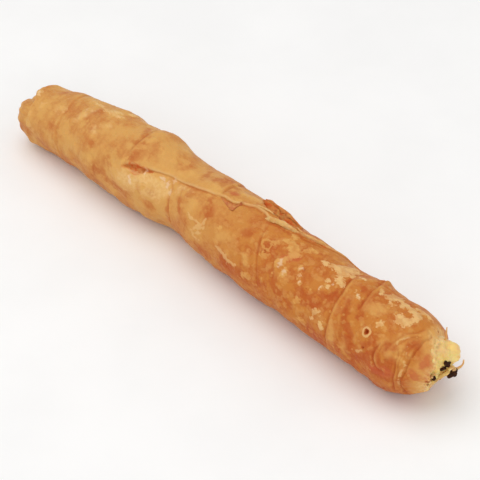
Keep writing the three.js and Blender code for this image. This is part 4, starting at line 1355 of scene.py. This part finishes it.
class BorekLook(bpy.types.PropertyGroup):
    rings: IntProperty(
        name="Rings", description="Rings of points along the dough", default=560, min=120, max=700
    )
    columns: IntProperty(
        name="Columns", description="Points round the dough", default=160, min=80, max=200
    )
    flake_thickness: FloatProperty(
        name="Flake thickness",
        description="How thick the loose flakes are",
        default=0.00075,
        min=0.0003,
        max=0.0015,
        unit="LENGTH",
        subtype="DISTANCE",
    )
    browning: share_property("Browning", "How strongly the dough is baked", 1.0, 2)
    oil: share_property("Oil", "Sheen of oil on the dough", 0.04, 1)
    golden: colour_property("Golden dough", "Dough towards the closed end", (218, 162, 90))
    tan: colour_property("Tan dough", "Dough towards the open end", (203, 128, 56))
    # Browned dough, also used for the painted shade in the toast field and the painted shadow under the edge
    # of the top sheet.
    brown_and_shade: colour_property("Browned dough", "Dough where it is well baked", (184, 84, 34))
    # Painted shade in creases, cracks and pinholes, along the turned corner's edges and on the skin fold's
    # lower edge, and painted shadow under flakes; also the tiny dark dots.
    deep: colour_property("Dark crease", "Dough down in creases and gaps", (176, 74, 24))
    # Pale blisters and threads, also used for the painted highlight along the edge of the top sheet and for
    # the painted sheen.
    cream_and_highlight: colour_property("Blister", "Pale raised blisters and threads", (234, 190, 126))
    # Pale dough, also used for the painted highlight on the crests of the folds.
    straw_and_highlight: colour_property("Pale dough", "Lighter streaks and the edge of the top sheet", (226, 172, 96))
    glint: colour_property("Glint", "Whitish glints on dry blisters", (238, 204, 168))
    # Painted shade inside the gaps.
    gap_shade: colour_property("Gap", "Inside the gaps between sheets", (208, 92, 34))
    # Painted shade in the deepest part of a gap.
    pit_shade: colour_property("Pit", "The deepest part of a gap", (150, 54, 14))
    blush: colour_property("Blush", "Reddish patches", (196, 90, 56))
    potato: colour_property("Potato", "Light mash", (246, 218, 134))
    potato_deep: colour_property("Potato shade", "Darker mash", (240, 196, 102))
    char: colour_property("Char", "Charred scraps", (54, 27, 12))
    char_edge: colour_property("Char edge", "Lighter flecks on the charred scraps", (104, 58, 28))
    fold: colour_property("Skin fold", "Olive strip of potato skin", (186, 140, 60))
    floor: colour_property("Floor", "Plain pale floor", (251, 251, 251))
    key: power_property("Key light", "Power of the large soft light", 10.2)
    fill: power_property("Fill light", "Power of the second soft light", 3.4)
    back: power_property("Back light", "Power of the soft light behind", 1.9)


# ---- Operators ----
class BorekDough(bpy.types.Operator):
    """Build the wound dough with its creases, gaps and blisters"""

    bl_idname = "borek.dough"
    bl_label = "Wound dough"

    def execute(self, context):
        look = context.scene.borek_look
        hand_in(build_wound_dough(look), "pastry", dough_material(look))
        return {"FINISHED"}


class BorekFlakes(bpy.types.Operator):
    """Build the loose flakes, the turned corner and the thread on the rim"""

    bl_idname = "borek.flakes"
    bl_label = "Loose flakes"

    def execute(self, context):
        look = context.scene.borek_look
        flake = flake_material(look, "Dry flake", look.cream_and_highlight, look.golden)
        for number, (points, wide, thick) in enumerate(FLAKES):
            share = look.flake_thickness * 1000 / PLAIN_FLAKE
            piece = build_flake(f"torn_flake_{number + 1}", points, wide, thick * share, 60 + number)
            hand_in(piece, "pastry", flake)
        layer = flake_material(look, "Golden layer", look.golden, look.brown_and_shade)
        for number, (points, wide, thick) in enumerate(GAP_LAYERS):
            piece = build_flake(f"gap_layer_{number + 1}", points, wide, thick, 70 + number)
            hand_in(piece, "pastry", layer)
        hand_in(build_dog_ear("turned_corner"), "pastry", corner_material(look))
        hand_in(build_thread("rim_thread", RIM_WISP, 2.1, 1.1, 1.0, 0.25, 3), "pastry", flake)
        return {"FINISHED"}


class BorekPotato(bpy.types.Operator):
    """Build the potato filling, its crumbly open face and the scraps on it"""

    bl_idname = "borek.potato"
    bl_label = "Potato filling"

    def execute(self, context):
        look = context.scene.borek_look
        mash, char = potato_material(look), char_material(look)
        hand_in(build_potato_core(), "filling", mash)
        hand_in(build_potato_face(), "filling", mash)
        hand_in(build_crumbs("rim_crumbs", CRUMBS, 95), "filling", crumb_material(look))
        for number, lumps in enumerate(CHARS):
            hand_in(build_char(f"charred_scrap_{number + 1}", lumps, 80 + number), "filling", char)
        thread = build_thread("face_thread", FACE_WISP, 2.2, 1.5, 1.0, 0.3, 5)
        hand_in(thread, "filling", flake_material(look, "Dried thread", look.cream_and_highlight, look.straw_and_highlight))
        fold = build_thread("skin_fold", SKIN_FOLD, 2.6, 1.3, 0.85, 1.0, 7)
        hand_in(fold, "filling", fold_material(look))
        return {"FINISHED"}


# ---- Stage ----
AIM_OF_LIGHTS = (0, 0, 0.02)
CAMERA_PLACE, CAMERA_AIM, CAMERA_LENS = (0.5753, -0.5295, 0.6551), (0.011, -0.0033, 0.019), 168
FLOOR_FLAT_TO, FLOOR_EDGE, FLOOR_RISE = 1900, 3400, 1400


def aimed(thing, target):
    thing.rotation_euler = (Vector(target) - thing.location).to_track_quat("-Z", "Y").to_euler()
    return thing


def add_light(name, place, size, power, colour):
    clear_selection()
    bpy.ops.object.light_add(type="AREA", location=place)
    light = named(bpy.context.object, name)
    light.data.shape = "DISK"
    light.data.size = size
    light.data.energy = power
    light.data.color = colour
    return aimed(light, AIM_OF_LIGHTS)


class BorekStage(bpy.types.Operator):
    """Build the pale floor, the soft lights and the camera"""

    bl_idname = "borek.stage"
    bl_label = "Studio"

    def execute(self, context):
        look = context.scene.borek_look
        clear_selection()
        bpy.ops.mesh.primitive_grid_add(x_subdivisions=60, y_subdivisions=60, size=6, calc_uvs=False)
        floor = named(bpy.context.object, "studio_floor")
        points = points_of(floor)
        # The floor sweeps up at its far edges, well out of sight.
        away = np.hypot(points[:, 0], points[:, 1])
        points[:, 2] = FLOOR_RISE * smooth(away, FLOOR_FLAT_TO, FLOOR_EDGE)
        move_points(floor, points)
        floor.data.materials.append(floor_material(look))
        bpy.ops.object.shade_smooth()
        key = add_light("key_light", (-0.35, -0.25, 1.35), 1.8, look.key, (1.0, 0.985, 0.96))
        fill = add_light("fill_light", (0.9, -1.0, 0.75), 1.2, look.fill, (1.0, 0.99, 0.98))
        back = add_light("back_light", (1.05, 0.6, 0.65), 1.1, look.back, (1.0, 0.99, 0.98))
        world = context.scene.world or bpy.data.worlds.new("Studio")
        context.scene.world = world
        world.use_nodes = True
        nodes = world.node_tree.nodes
        background = nodes.get("Background") or nodes.new("ShaderNodeBackground")
        background.inputs["Color"].default_value = (1.0, 1.0, 1.0, 1.0)
        background.inputs["Strength"].default_value = 0.56
        clear_selection()
        bpy.ops.object.camera_add(location=CAMERA_PLACE)
        camera = named(aimed(bpy.context.object, CAMERA_AIM), "studio_camera")
        camera.data.sensor_width = 36
        camera.data.lens = CAMERA_LENS
        camera.data.dof.use_dof = False
        context.scene.camera = camera
        context.scene.view_settings.view_transform = "Standard"
        return {"FINISHED"}


class BorekPanel(bpy.types.Panel):
    """Lists what can be changed and the steps that build the stick"""

    bl_idname = "VIEW3D_PT_borek"
    bl_label = "Borek stick"
    bl_space_type = "VIEW_3D"
    bl_region_type = "UI"
    bl_category = "Borek"

    def draw(self, context):
        look = context.scene.borek_look
        column = self.layout.column()
        for name in look.bl_rna.properties.keys():
            if name not in {"rna_type", "name"}:
                column.prop(look, name)
        for operator in OPERATORS:
            column.operator(operator.bl_idname)


OPERATORS = (BorekStage, BorekDough, BorekFlakes, BorekPotato)
CLASSES = (BorekLook, *OPERATORS, BorekPanel)


def register():
    for cls in CLASSES:
        bpy.utils.register_class(cls)
    bpy.types.Scene.borek_look = PointerProperty(type=BorekLook)


def unregister():
    del bpy.types.Scene.borek_look
    for cls in reversed(CLASSES):
        bpy.utils.unregister_class(cls)


def main():
    register()
    for make_group in (mottling_group, dots_group, round_mark_group, ragged_group):
        make_group()
    bpy.ops.borek.stage()
    bpy.ops.borek.dough()
    bpy.ops.borek.flakes()
    bpy.ops.borek.potato()


if __name__ == "__main__":
    main()
